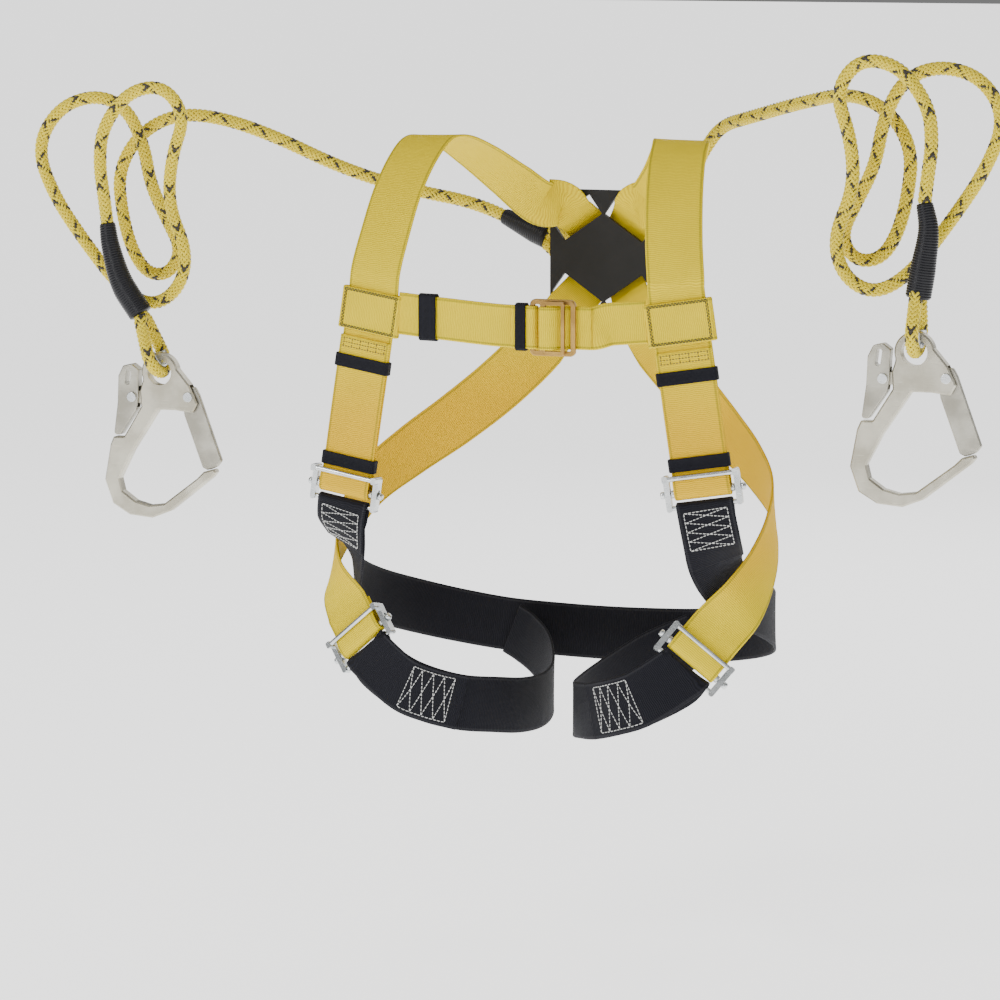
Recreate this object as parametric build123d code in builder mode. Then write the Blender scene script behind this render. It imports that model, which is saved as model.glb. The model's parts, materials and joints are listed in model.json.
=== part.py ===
"""Full-body safety harness with two rope lanyards that end in scaffold hooks.

Millimetres. +Z is up, the wearer faces -Y and the wearer's left is +X. The origin is the base of
the wearer's neck, level with the crests of the shoulder straps.
"""

from build123d import *
from math import cos, pi, radians, sin, tan
import os

# Webbing
strap_width = 51.0
strap_thickness = 2.2
chest_width = 38.0
plate_width = 40.0  # the main webbing is gathered to this where it crosses in the dorsal plate

# Torso and leg adjusters, in the plane of each: x across the strap, y up along it, z outward
bar_radius = 3.5
bar_pin_radius = 1.5
bar_pin_gap = 0.1
bar_travel = 4.0
rail_inner = 29.0
rail_outer = 34.0
rail_half_depth = 3.5
top_rail_y = 14.0
top_rail_z = 7.0  # the top rail stands in front of both layers of webbing
top_rail_radius = 2.2
rail_overrun = 6.0  # the side rails reach half of this past the top rail and the loop rail
fold_rise = 3.7  # from the frame's middle to each layer, under the top rail
head_outer = 38.5
wrap_radius = bar_radius + 0.35 + strap_thickness / 2
loop_rail_y = -12.5
loop_rail_radius = 2.2
loop_radius = loop_rail_radius + 0.35 + strap_thickness / 2
layer_offset = 1.75  # from the middle of a doubled strap to each layer

# Keepers
keeper_height = 12.0
keeper_wall = 1.6
upper_keeper_z = -200.0
lower_keeper_rise = 24.7  # above the slide bar

# Rope
rope_diameter = 12.0
eye_radius = 16.5
eye_neck_radius = 8.0
eye_neck_height = 30.0
thimble_width = 12.0
thimble_thickness = 1.6
sleeve_radius = 11.5
sleeve_rope_radius = 7.5
ring_sleeve_span = (88.0, 62.0, 37.0)  # from the rope's side to the eye's, along the ring eye's axis
ring_eye_y = 160.0
eye_to_bow = 2.0

# Hook
hook_thickness = 11.0
hook_eye_radius = 12.0
hook_eye_outer = 18.0
gate_pivot = (29.0, -22.0)
lever_pivot = (-28.0, -24.0)
rivet_radius = 3.0
running_gap = 0.06
gate_thickness = 5.0
gate_slot_half = 4.0

parts = {}


def keep(name, solid):
    """Labels a finished piece and writes it as the STEP of that name."""
    solid.label = name
    export_step(solid, f"parts/{name}.step")
    parts[name] = solid


def facing(turn, tilt=0.0):
    """Outward direction: turn 0 faces the front, 90 the wearer's left; tilt lifts it towards +Z."""
    level = cos(radians(tilt))
    return Vector(sin(radians(turn)) * level, -cos(radians(turn)) * level, sin(radians(tilt)))


def on_side(side, stations):
    """A route given for the wearer's left, as (x, y, z, turn, tilt) rows, put on either side."""
    return [(Vector(side * x, y, z), facing(side * turn, tilt)) for x, y, z, turn, tilt in stations]


def in_plane(plane, rows):
    """Stations given in an adjuster's plane as (y, z, normal angle) rows, 0 facing out, 90 facing up."""
    result = []
    for y, z, angle in rows:
        normal = plane.z_dir * cos(radians(angle)) + plane.y_dir * sin(radians(angle))
        result.append((plane.from_local_coords((0, y, z)), normal))
    return result


def turn_round(centre_y, radius, outer_first=False):
    """Five stations that carry webbing under a bar, from behind it to in front of it."""
    rows = []
    for step in (-90, -45, 0, 45, 90):
        y = centre_y - radius * cos(radians(step))
        z = radius * sin(radians(step))
        rows.append((y, z, step - 90))
    return rows[::-1] if outer_first else rows


def section_planes(route):
    """Planes square to a route, with x across the webbing and y through its thickness."""
    planes = []
    for index, (point, normal) in enumerate(route):
        ahead = route[min(index + 1, len(route) - 1)][0]
        behind = route[max(index - 1, 0)][0]
        along = (ahead - behind).normalized()
        across = along.cross(normal).normalized()
        if planes and across.dot(planes[-1].x_dir) < 0:
            across = across * -1
        planes.append(Plane(origin=point, x_dir=across, z_dir=along))
    return planes


def webbing(route, width, narrow=()):
    """A band of webbing along a route; stations listed in narrow are gathered to plate_width."""
    with BuildPart() as band:
        for index, plane in enumerate(section_planes(route)):
            with BuildSketch(plane):
                Rectangle(plate_width if index in narrow else width, strap_thickness)
        loft(ruled=True)
    return band.part


def keeper(plane, width, gap, height=keeper_height):
    """A flat elastic ring round webbing that runs along the plane's y."""
    with BuildPart() as ring:
        across = Plane(origin=plane.origin, x_dir=plane.x_dir, z_dir=plane.y_dir)
        with BuildSketch(across.offset(-height / 2)):
            RectangleRounded(width + 2 * keeper_wall + 1, gap + 2 * keeper_wall, keeper_wall)
            Rectangle(width + 1, gap, mode=Mode.SUBTRACT)
        extrude(amount=height)
    return ring.part


def adjuster_frame(plane):
    """Forged frame: slotted side rails, a raised top rail and the rail that holds a sewn loop."""
    rail_middle = (rail_inner + rail_outer) / 2
    rail_width = rail_outer - rail_inner
    rail_length = top_rail_y - loop_rail_y + rail_overrun
    with BuildPart() as frame:
        for side in (-1, 1):
            with BuildSketch(plane.offset(-rail_half_depth)):
                with Locations((side * rail_middle, (top_rail_y + loop_rail_y) / 2)):
                    RectangleRounded(rail_width, rail_length, 2.2)
            extrude(amount=2 * rail_half_depth)
            with BuildSketch(plane):
                with Locations((side * rail_middle, top_rail_y)):
                    RectangleRounded(rail_width, rail_overrun, 1.5)
            extrude(amount=top_rail_z + top_rail_radius)
        across = Plane(origin=plane.origin, x_dir=plane.y_dir, z_dir=plane.x_dir)
        with BuildSketch(across.offset(-rail_middle)):
            with Locations((top_rail_y, top_rail_z)):
                Circle(top_rail_radius)
            with Locations((loop_rail_y, 0)):
                Circle(loop_rail_radius)
        extrude(amount=2 * rail_middle)
        with BuildSketch(across.offset(-rail_outer - 1)):
            with Locations((bar_travel / 2, 0)):
                pin_width = 2 * (bar_pin_radius + bar_pin_gap)
                SlotOverall(bar_travel + pin_width, pin_width)
        extrude(amount=2 * (rail_outer + 1), mode=Mode.SUBTRACT)
    return frame.part


def slide_bar(plane):
    """Round bar that clamps the webbing, with pins through the side rails and a head on each end."""
    across = Plane(origin=plane.origin, x_dir=plane.y_dir, z_dir=plane.x_dir)
    with BuildPart() as bar:
        for radius, half_length in (
            (bar_radius, rail_inner - 0.6),
            (bar_pin_radius, head_outer - 0.5),
        ):
            with BuildSketch(across.offset(-half_length)):
                Circle(radius)
            extrude(amount=2 * half_length)
        for start in (-head_outer, rail_outer + 0.3):
            with BuildSketch(across.offset(start)):
                Circle(3.2)
            extrude(amount=head_outer - rail_outer - 0.3)
    return bar.part


def rope_tube(name, points, diameter):
    """A round tube on straight runs joined by the largest tangent arcs that the runs allow."""
    points = [Vector(*point) for point in points]
    radii = []
    for before, here, after in zip(points, points[1:], points[2:]):
        run_in = here - before
        run_out = after - here
        turn = radians(run_in.get_angle(run_out))
        radii.append(0.45 * min(run_in.length, run_out.length) / tan(turn / 2))
    with BuildPart() as tube:
        with BuildLine() as path:
            FilletPolyline(*points, radius=radii)
        centreline = path.wire()
        with BuildSketch(Plane(origin=centreline @ 0, z_dir=centreline % 0)):
            Circle(diameter / 2)
        sweep(path=centreline)
    length = centreline.length
    share = tube.part.volume / (pi * diameter**2 / 4 * length)
    print(f"{name}: length {length:.0f}, volume share {share:.4f}, least radius {min(radii):.0f}")
    print("  radii", [round(radius) for radius in radii])
    return tube.part


def eye_plane(saddle, axis, bearing):
    """Plane of a rope eye: y towards its sleeve, x along the bearing that passes through it."""
    origin = saddle + axis * eye_radius
    return Plane(origin=origin, x_dir=bearing, z_dir=bearing.cross(axis))


def rope_eye(plane):
    """The spliced eye at a rope's end: a round end, two straight sides and a narrower neck."""
    lean = (eye_radius - eye_neck_radius) / eye_neck_height
    level = (1 - lean**2) ** 0.5
    side_x, side_y = eye_radius * level, eye_radius * lean
    neck_x, neck_y = eye_neck_radius * level, eye_neck_height + eye_neck_radius * lean
    low = plane.from_local_coords((0, -eye_radius, 0))
    right = plane.from_local_coords((side_x, side_y, 0))
    left = plane.from_local_coords((-side_x, side_y, 0))
    right_neck = plane.from_local_coords((neck_x, neck_y, 0))
    left_neck = plane.from_local_coords((-neck_x, neck_y, 0))
    top = plane.from_local_coords((0, eye_neck_height + eye_neck_radius, 0))
    with BuildPart() as eye:
        with BuildLine() as path:
            Line(right_neck, right)
            ThreePointArc(right, low, left)
            Line(left, left_neck)
            ThreePointArc(left_neck, top, right_neck)
        outline = path.wire()
        with BuildSketch(Plane(origin=outline @ 0, z_dir=outline % 0)):
            Circle(rope_diameter / 2)
        sweep(path=outline)
    return eye.part


def thimble(plane):
    """The strip that lines the eye's round end."""
    outer = eye_radius - rope_diameter / 2 - 0.05
    inner = outer - thimble_thickness
    with BuildPart() as liner:
        with BuildSketch(plane.offset(-thimble_width / 2)):
            Circle(outer)
            Circle(inner, mode=Mode.SUBTRACT)
            with Locations((0, outer / 2 + 3)):
                Rectangle(2 * outer, outer + 6, mode=Mode.SUBTRACT)
            for side in (-1, 1):
                with Locations((side * (outer + inner) / 2, 0)):
                    Rectangle(thimble_thickness, 6)
        extrude(amount=thimble_width)
    return liner.part


def sleeve(points):
    """Whipped sleeve over a splice, thick at the eye and tapered to the rope."""
    points = [Vector(point) for point in points]
    last = len(points) - 1
    taper = sleeve_radius - sleeve_rope_radius
    with BuildPart() as cover:
        for index, point in enumerate(points):
            along = (points[min(index + 1, last)] - points[max(index - 1, 0)]).normalized()
            across = along.cross(Vector(1, 0, 0)).normalized()
            with BuildSketch(Plane(origin=point, x_dir=across, z_dir=along)):
                Circle(sleeve_rope_radius + taper * min(1, 1.4 * index / last))
        loft(ruled=True)
    return cover.part


os.makedirs("parts", exist_ok=True)

# ---------------------------------------------------------------------------------------------
# Main webbing: one length on each side, from the torso adjuster over its shoulder, through the
# dorsal plate where the two cross, and round the other hip to that side's leg adjuster.

strap_lean = 0.151  # the front straps move out by this much for each millimetre they go down
front_y = -98.0


def front_point(side, z):
    """The middle of the straight front strap at height z."""
    return Vector(side * (145.0 + strap_lean * (-150.0 - z)), front_y, z)


def front_plane(side, z, turn):
    """Plane on the front strap: x across, y up along the strap, z outward."""
    up = (front_point(side, z + 1) - front_point(side, z)).normalized()
    outward = facing(side * turn)
    across = up.cross(outward).normalized()
    return Plane(origin=front_point(side, z), x_dir=across, z_dir=across.cross(up))


def leg_plane(side):
    """Plane of the leg adjuster, which hangs tilted on the front of the hip."""
    up = Vector(side * 0.56, 0.34, 0.75).normalized()
    outward = facing(side * 20, 9.6)
    across = up.cross(outward).normalized()
    return Plane(origin=Vector(side * 157.0, -90.0, -452.0), x_dir=across, z_dir=across.cross(up))


torso_z = {1: -300.0, -1: -314.0}  # the wearer's right side is let out further
torso_turn = 8.0
tail_length = {1: 124.0, -1: 138.0}
leg_tail_length = 30.0

shoulder_route = [
    (141.0, -98.0, -116.0, 8, 8),
    (136.0, -88.0, -84.0, 8, 22),
    (130.0, -68.0, -46.0, 8, 40),
    (124.0, -42.0, -16.0, 6, 62),
    (119.0, -15.0, -1.0, 2, 88),
    (110.0, 14.0, -4.0, 180, 68),
    (96.0, 46.0, -20.0, 180, 48),
    (76.0, 78.0, -44.0, 180, 32),
    (54.0, 100.0, -66.0, 180, 20),
]
# Through the dorsal plate: distance past the crossing along the strap, and y
plate_rows = ((-62.0, 112.0), (-50.0, 120.0), (-39.0, 131.0))
plate_rise = 3.4  # the wearer's right webbing lies this much further out where the two cross
plate_z = -118.0
plate_direction = Vector(-0.574, 0, -0.819)
back_route = [
    (58.0, 112.0, -200.0, 174, 0),
    (94.0, 102.0, -237.0, 162, 0),
    (132.0, 84.0, -270.0, 146, 0),
    (167.0, 60.0, -298.0, 126, 0),
    (193.0, 30.0, -324.0, 106, 0),
    (203.0, -4.0, -352.0, 88, 0),
    (203.0, -38.0, -379.0, 68, 0),
    (195.0, -67.0, -403.0, 46, 3),
]


def plate_stations(side):
    """The gathered stretch through the plate's slots, over the ring's bar and down again."""
    stations = []
    direction = Vector(side * plate_direction.X, 0, plate_direction.Z)
    rise = plate_rise if side < 0 else 0.0
    over_bar = [(-26.0, 138.0 + rise), (0.0, 138.0 + rise), (26.0, 138.0 + rise)]
    rows = list(plate_rows) + over_bar + [(-s, y) for s, y in reversed(plate_rows)]
    for distance, y in rows:
        stations.append((Vector(0, y, plate_z) + direction * distance, Vector(0, 1, 0)))
    return stations


def main_webbing(side):
    """Stations from the torso tail's hem to the leg tail's hem on the other side."""
    torso = front_plane(side, torso_z[side], torso_turn)
    leg = leg_plane(-side)
    tail = [(tail_length[side], layer_offset, 0), (70.0, layer_offset, 0), (18.5, layer_offset, 0)]
    tail += [(13.5, fold_rise, 0), (9.0, wrap_radius, 0)]
    behind = [(9.0, -wrap_radius, 180), (13.5, -fold_rise, 180), (18.5, -layer_offset, 180)]
    behind += [(110.0, -layer_offset, 180), (175.0, -layer_offset, 180)]
    wrap = turn_round(0.0, wrap_radius, outer_first=True)
    route = in_plane(torso, tail + wrap + behind)
    shoulder = [
        (point - facing(side * 8) * layer_offset if point.Y < -80 else point, normal)
        for point, normal in on_side(side, shoulder_route)
    ]
    route += shoulder
    first = len(route)
    route += plate_stations(side)
    narrow = range(first, len(route))
    route += on_side(-side, back_route)
    hip_leg = [(34.0, layer_offset, 0), (18.5, layer_offset, 0), (13.5, fold_rise, 0), (9.0, wrap_radius, 0)]
    leg_tail = [(9.0, -wrap_radius, 180), (13.5, -fold_rise, 180), (18.5, -layer_offset, 180)]
    leg_tail += [(leg_tail_length, -layer_offset, 180)]
    leg_wrap = turn_round(0.0, wrap_radius, outer_first=True)
    route += in_plane(leg, hip_leg + leg_wrap + leg_tail)
    return route, narrow


side_names = {1: "left", -1: "right"}
for side, word in side_names.items():
    route, narrow = main_webbing(side)
    keep(f"main_webbing_{word}", webbing(route, strap_width, narrow))

# ---------------------------------------------------------------------------------------------
# Adjusters and keepers

keeper_gap = 2 * layer_offset + strap_thickness + 0.8
for side, word in side_names.items():
    torso = front_plane(side, torso_z[side], torso_turn)
    lower_keeper_z = torso_z[side] + lower_keeper_rise
    leg = leg_plane(side)
    keep(f"torso_adjuster_frame_{word}", adjuster_frame(torso))
    keep(f"torso_slide_bar_{word}", slide_bar(torso))
    keep(f"leg_adjuster_frame_{word}", adjuster_frame(leg))
    keep(f"leg_slide_bar_{word}", slide_bar(leg))
    keep(f"upper_keeper_{word}", keeper(front_plane(side, upper_keeper_z, torso_turn), strap_width, keeper_gap))
    keep(f"lower_keeper_{word}", keeper(front_plane(side, lower_keeper_z, torso_turn), strap_width, keeper_gap))

# ---------------------------------------------------------------------------------------------
# Seat strap: black webbing from one torso adjuster, round the hip and under the seat, to the other

seat_route = [
    (175.0, -95.0, -345.0, 12, 0),
    (175.0, -82.0, -366.0, 28, 0),
    (177.0, -62.0, -385.0, 46, 0),
    (184.5, -41.0, -400.0, 62, 0),
    (192.5, -15.0, -413.0, 80, 0),
    (195.0, 16.0, -425.0, 92, 0),
    (190.0, 50.0, -437.0, 108, 0),
    (172.0, 92.0, -451.0, 132, 0),
    (142.0, 119.0, -462.0, 154, 0),
    (98.0, 133.0, -470.0, 168, 0),
    (50.0, 138.0, -473.0, 176, 0),
]


def sewn_loop(plane, depth):
    """The doubled end of a black strap: in front of the loop rail, round its top and down behind."""
    front = [(loop_rail_y - depth, layer_offset, 0), (loop_rail_y - 12.0, layer_offset, 0)]
    front += [(loop_rail_y, loop_radius, 0)]
    over = []
    for angle in (45, 90, 135):
        y = loop_rail_y + loop_radius * sin(radians(angle))
        over.append((y, loop_radius * cos(radians(angle)), angle))
    back = [(loop_rail_y, -loop_radius, 180), (loop_rail_y - 12.0, -layer_offset, 180)]
    return in_plane(plane, front + over + back)


left_end = sewn_loop(front_plane(1, torso_z[1], torso_turn), 16.0)
right_end = sewn_loop(front_plane(-1, torso_z[-1], torso_turn), 16.0)
seat_left = on_side(1, seat_route)
seat_right = on_side(-1, seat_route)
seat = left_end + seat_left + [(Vector(0, 139.0, -474.0), Vector(0, 1, 0))]
seat += seat_right[::-1] + right_end[::-1]
keep("seat_strap", webbing(seat, strap_width))

# ---------------------------------------------------------------------------------------------
# Leg straps: from the leg adjuster across the thigh, through the crotch and up to the seat strap

leg_route = [
    (113.0, -105.0, -487.0, 8, 4),
    (87.0, -102.0, -497.0, -8, 0),
    (62.0, -88.0, -505.0, -28, 0),
    (40.0, -62.0, -510.0, -50, 0),
    (25.0, -30.0, -515.0, -74, 0),
    (18.0, 8.0, -516.0, -90, 0),
    (22.0, 46.0, -511.0, -108, 0),
    (38.0, 80.0, -500.0, -134, 0),
    (56.0, 104.0, -489.0, -152, 0),
    (76.0, 121.0, -480.0, -166, 0),
    (92.0, 127.0, -473.0, -168, 0),
]
for side, word in side_names.items():
    route = sewn_loop(leg_plane(side), 17.0) + on_side(side, leg_route)
    keep(f"leg_strap_{word}", webbing(route, strap_width))

# ---------------------------------------------------------------------------------------------
# Chest strap: a sewn loop round each front strap, and a buckle between the two halves

chest_z = -153.0
buckle_z = -159.0
loop_inner_width = strap_width + 6.0
loop_inner_gap = strap_thickness + 1.8
buckle_plane = Plane(origin=(36.0, -121.0, buckle_z), x_dir=(1, 0, 0), z_dir=(0, -1, 0))
buckle_half_height = 25.0
frame_half_width = 21.0
frame_depth = 4.0
frame_bar = 4.0
tongue_bar_x = -6.0
tongue_bar_z = 6.5
tongue_bar_radius = 2.0
tongue_wrap = tongue_bar_radius + 0.35 + strap_thickness / 2


def chest_loop(side):
    """The flat ring of webbing that rides on a front strap."""
    plane = front_plane(side, chest_z, torso_turn)
    centre = plane.origin - plane.z_dir * layer_offset
    across = Plane(origin=centre, x_dir=plane.x_dir, z_dir=plane.y_dir)
    outer_width = loop_inner_width + 2 * strap_thickness
    with BuildPart() as ring:
        with BuildSketch(across.offset(-chest_width / 2)):
            RectangleRounded(outer_width, loop_inner_gap + 2 * strap_thickness, 2.0)
            RectangleRounded(loop_inner_width, loop_inner_gap, 1.0, mode=Mode.SUBTRACT)
        extrude(amount=chest_width)
    return ring.part


left_loop = chest_loop(1)
right_loop = chest_loop(-1)


def buckle_rows(rows):
    """Stations given in the buckle's plane as (x, z, normal angle), 0 facing out, -90 facing -x."""
    result = []
    for x, z, angle in rows:
        outward = buckle_plane.z_dir * cos(radians(angle))
        sideways = buckle_plane.x_dir * sin(radians(angle))
        result.append((buckle_plane.from_local_coords((x, 0, z)), outward + sideways))
    return result


frame_loop_x = -frame_half_width + frame_bar / 2
frame_wrap = frame_bar / 2 + 1.1 + strap_thickness / 2
right_rows = [(-116.0, -101.2, chest_z, -14), (-100.0, -107.5, -153.5, -14)]
right_rows += [(-84.0, -112.0, -154.5, -11), (-64.0, -115.8, -155.5, -8), (-40.0, -119.0, -157.0, -4)]
right_rows += [(-16.0, -120.2, -158.5, 0)]
with BuildPart() as chest_strap_right:
    behind = buckle_rows([(-36.0, -1.8, 180), (-26.0, -2.0, 180), (frame_loop_x, -frame_wrap, 180)])
    round_bar = buckle_rows([
        (frame_loop_x + frame_wrap * sin(radians(angle)), -frame_wrap * cos(radians(angle)), 180 - angle)
        for angle in (45, 90, 135)
    ])
    in_front = buckle_rows([(frame_loop_x, frame_wrap, 0), (-26.0, 2.0, 0), (-38.0, 1.6, 0)])
    route = [(Vector(x, y, z), facing(turn)) for x, y, z, turn in right_rows]
    for plane in section_planes(route + behind + round_bar + in_front):
        with BuildSketch(plane):
            Rectangle(chest_width, strap_thickness)
    loft(ruled=True)
    add(right_loop)
keep("chest_strap_right", chest_strap_right.part)

left_rows = [(116.0, -101.2, chest_z, 14), (100.0, -107.0, -154.0, 14), (84.0, -110.5, -155.5, 10)]
with BuildPart() as chest_strap_left:
    route = [(Vector(x, y, z), facing(turn)) for x, y, z, turn in left_rows]
    route += buckle_rows([(36.0, -6.6, 0), (25.0, -6.8, 0), (18.0, -6.6, 0), (11.0, -4.6, -20)])
    route += buckle_rows([(5.0, -1.0, -35), (-0.5, 2.2, -20), (tongue_bar_x, tongue_bar_z - tongue_wrap, 0)])
    route += buckle_rows([
        (tongue_bar_x - tongue_wrap * sin(radians(angle)), tongue_bar_z - tongue_wrap * cos(radians(angle)), angle)
        for angle in (45, 90, 135)
    ])
    route += buckle_rows([(tongue_bar_x, tongue_bar_z + tongue_wrap, 180), (-0.8, 9.2, 200)])
    route += buckle_rows([(3.6, 6.2, 220), (7.0, 2.3, 222), (11.5, -0.9, 205), (18.5, -3.9, 190)])
    route += buckle_rows([(25.0, -4.1, 180), (34.0, -3.9, 180)])
    for plane in section_planes(route):
        with BuildSketch(plane):
            Rectangle(chest_width, strap_thickness)
    loft(ruled=True)
    add(left_loop)
keep("chest_strap_left", chest_strap_left.part)

with BuildPart() as chest_buckle_frame:
    with BuildSketch(buckle_plane.offset(-frame_depth / 2)):
        RectangleRounded(2 * frame_half_width, 2 * buckle_half_height, 5.0)
        with Locations((frame_loop_x + 4.75, 0)):
            RectangleRounded(5.5, 41.0, 1.5, mode=Mode.SUBTRACT)
        with Locations((5.0, 0)):
            RectangleRounded(24.0, 41.0, 1.5, mode=Mode.SUBTRACT)
    extrude(amount=frame_depth)
    chamfer(chest_buckle_frame.faces().sort_by(Axis.Y)[0].outer_wire().edges(), 0.8)
keep("chest_buckle_frame", chest_buckle_frame.part)

tongue_right_x = 11.0
with BuildPart() as chest_buckle_tongue:
    with BuildSketch(buckle_plane.offset(tongue_bar_z - 1.5)):
        with Locations(((tongue_bar_x + tongue_right_x) / 2, 0)):
            RectangleRounded(tongue_right_x - tongue_bar_x + 4, 47.0, 3.0)
            RectangleRounded(tongue_right_x - tongue_bar_x - 2, 40.4, 1.0, mode=Mode.SUBTRACT)
        with Locations((tongue_bar_x, 0)):
            Rectangle(6.2, 40.4, mode=Mode.SUBTRACT)
    extrude(amount=3.0)
    bar_across = Plane(origin=buckle_plane.from_local_coords((tongue_bar_x, 0, tongue_bar_z)), z_dir=(0, 0, 1))
    with BuildSketch(bar_across.offset(-22.0)):
        Circle(tongue_bar_radius)
    extrude(amount=44.0)
keep("chest_buckle_tongue", chest_buckle_tongue.part)

chest_keeper_plane = Plane(origin=(-84.0, -112.0, -154.5), x_dir=(0, 0, 1), z_dir=facing(-11))
chest_inner_plane = Plane(origin=(7.0, -121.0, buckle_z), x_dir=(0, 0, 1), z_dir=facing(0))
keep("chest_keeper_outer", keeper(chest_keeper_plane, chest_width, strap_thickness + 2.4, 18.0))
keep("chest_keeper_inner", keeper(chest_inner_plane, chest_width, 2 * strap_thickness + 3.4, 10.0))

# ---------------------------------------------------------------------------------------------
# Dorsal plate and D-ring

plate_half = 52.0
plate_depth = 5.0
plate_y = 121.5
slot_distance = 45.0
slot_long = plate_width + 5.0
slot_wide = 22.0
ring_bar_y = 131.0
ring_bar_radius = 4.0
ring_leg_x = 34.0
ring_bow_radius = 5.0
ring_bow_y = 156.0
crossing_angle = 35.0

plate_plane = Plane(origin=(0, plate_y, plate_z), x_dir=(-1, 0, 0), z_dir=(0, 1, 0))
with BuildPart() as dorsal_plate:
    with BuildSketch(plate_plane):
        RectangleRounded(2 * plate_half, 2 * plate_half + 22, 18.0)
        for lean in (-crossing_angle, crossing_angle):
            for end in (-1, 1):
                x = end * slot_distance * sin(radians(lean))
                y = end * slot_distance * cos(radians(lean))
                with Locations(Location((x, y, 0), (0, 0, -lean))):
                    Rectangle(slot_long, slot_wide, mode=Mode.SUBTRACT)
    extrude(amount=plate_depth)
    saddle_sketch_plane = Plane(origin=(0, 0, 0), x_dir=(0, 1, 0), z_dir=(1, 0, 0))
    for side in (-1, 1):
        with BuildSketch(saddle_sketch_plane.offset(side * 43.5 - 2.5)):
            with Locations((plate_y + plate_depth + 2.5, plate_z)):
                Rectangle(13.0, 16.0)
            with Locations((ring_bar_y, plate_z)):
                Circle(ring_bar_radius + running_gap, mode=Mode.SUBTRACT)
        extrude(amount=5.0)
keep("dorsal_plate", dorsal_plate.part)

with BuildPart() as d_ring:
    with BuildSketch(saddle_sketch_plane.offset(-48.0)):
        with Locations((ring_bar_y, plate_z)):
            Circle(ring_bar_radius)
    extrude(amount=96.0)
    with BuildLine(Plane.XY.offset(plate_z)) as bow:
        Line((ring_leg_x, ring_bar_y), (ring_leg_x, ring_bow_y))
        ThreePointArc((ring_leg_x, ring_bow_y), (0, ring_bow_y + ring_leg_x), (-ring_leg_x, ring_bow_y))
        Line((-ring_leg_x, ring_bow_y), (-ring_leg_x, ring_bar_y))
    bow_line = bow.wire()
    with BuildSketch(Plane(origin=bow_line @ 0, z_dir=bow_line % 0)):
        Circle(ring_bow_radius)
    sweep(path=bow_line)
keep("d_ring", d_ring.part)

# ---------------------------------------------------------------------------------------------
# Rope lanyards. Each runs from an eye on the D-ring, out past the shoulder, round three loose
# loops and down into the sleeve above its hook.

lanyards = {
    "left": {
        "ring_side": 1,
        "ring_axis": (0.443, 0.077, 0.893),
        "hook_sleeve": [(346, -30, -48), (350, -31, -72), (346, -31, -103), (341.5, -31, -131)],
        "hook_saddle": (340.0, -31.0, -178.0),
        "route": [
            (74.0, 167.0, -37.4), (83.6, 168.7, -18.0), (103, 160, 5), (138, 126, 14), (200, 82, 31),
            (257, 46, 43), (295, 40, 28), (317, 36, -5), (315, 33, -45), (306, 30, -82),
            (291, 28, -104), (268, 25, -105), (256, 23, -83), (271, 20, -53), (289, 17, -19),
            (296, 14, 20), (314, 10, 56), (348, 6, 70), (388, 3, 60), (410, 0, 25), (393, -2, -21),
            (361, -3, -68), (327, -3, -113), (295, -4, -132), (267, -6, -117), (258, -9, -83),
            (278, -12, -38), (275, -15, 6), (261, -18, 46), (283, -21, 76), (320, -24, 71),
            (348, -26, 36), (352, -29, 2), (348.5, -30, -24), (346, -30, -48),
        ],
    },
    "right": {
        "ring_side": -1,
        "ring_axis": (-0.92, 0.156, 0.36),
        "hook_sleeve": [(-435, -30, -86), (-431, -31, -109), (-420, -31, -142), (-401, -31, -170)],
        "hook_saddle": (-381.0, -31.0, -223.0),
        "route": [
            (-117.0, 174.2, -85.5), (-146.2, 179.1, -74.1), (-202, 152, -62), (-256, 110, -40),
            (-312, 76, -8), (-358, 52, 10), (-398, 42, 12), (-433, 38, -7), (-453, 34, -42),
            (-448, 31, -82), (-437, 29, -117), (-420, 27, -138), (-397, 25, -137), (-383, 23, -114),
            (-397, 20, -85), (-412, 17, -53), (-417, 14, -15), (-433, 10, 20), (-464, 6, 31),
            (-501, 3, 17), (-521, 0, -20), (-503, -2, -64), (-470, -3, -108), (-435, -3, -149),
            (-402, -4, -166), (-373, -6, -148), (-363, -9, -113), (-381, -12, -70), (-376, -15, -25),
            (-360, -18, 14), (-380, -21, 42), (-415, -24, 36), (-441, -26, 2), (-443, -29, -32),
            (-438, -30, -62), (-435, -30, -86),
        ],
    },
}

hook_outline = [
    (-17, 4), (17, 4), (30, -11), (38, -28), (33, -37), (16, -35), (-2, -35), (-28, -74), (-42, -101),
    (-39, -113), (-26, -122), (-12, -125.5), (3, -123.5), (37, -98), (43.7, -91.4), (54.4, -88.4), (56, -91.5), (52, -96.5), (10, -129.5),
    (-9, -137), (-32, -135), (-49, -125), (-57, -103), (-51, -70), (-47.5, -62), (-37, -62), (-19, -33),
    (-20, -18), (-17, -8),
]
gate_outline = [
    (20, -23), (24, -14), (34, -13), (38, -20), (60.5, -81), (56, -86.5), (50, -89),
    (45.6, -90), (41, -88), (23, -40),
]
lever_outline = [
    (-21, 2), (-28, 7), (-37, 5), (-42, -5), (-43, -30), (-47, -60), (-40.5, -60), (-24, -36),
    (-22, -24), (-22, -8),
]


def hook_plane(pivot):
    """Plane of a hook: x to the wearer's left, y up, z to the front, centred on its eye."""
    return Plane(origin=pivot, x_dir=(1, 0, 0), z_dir=(0, -1, 0))


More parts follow.
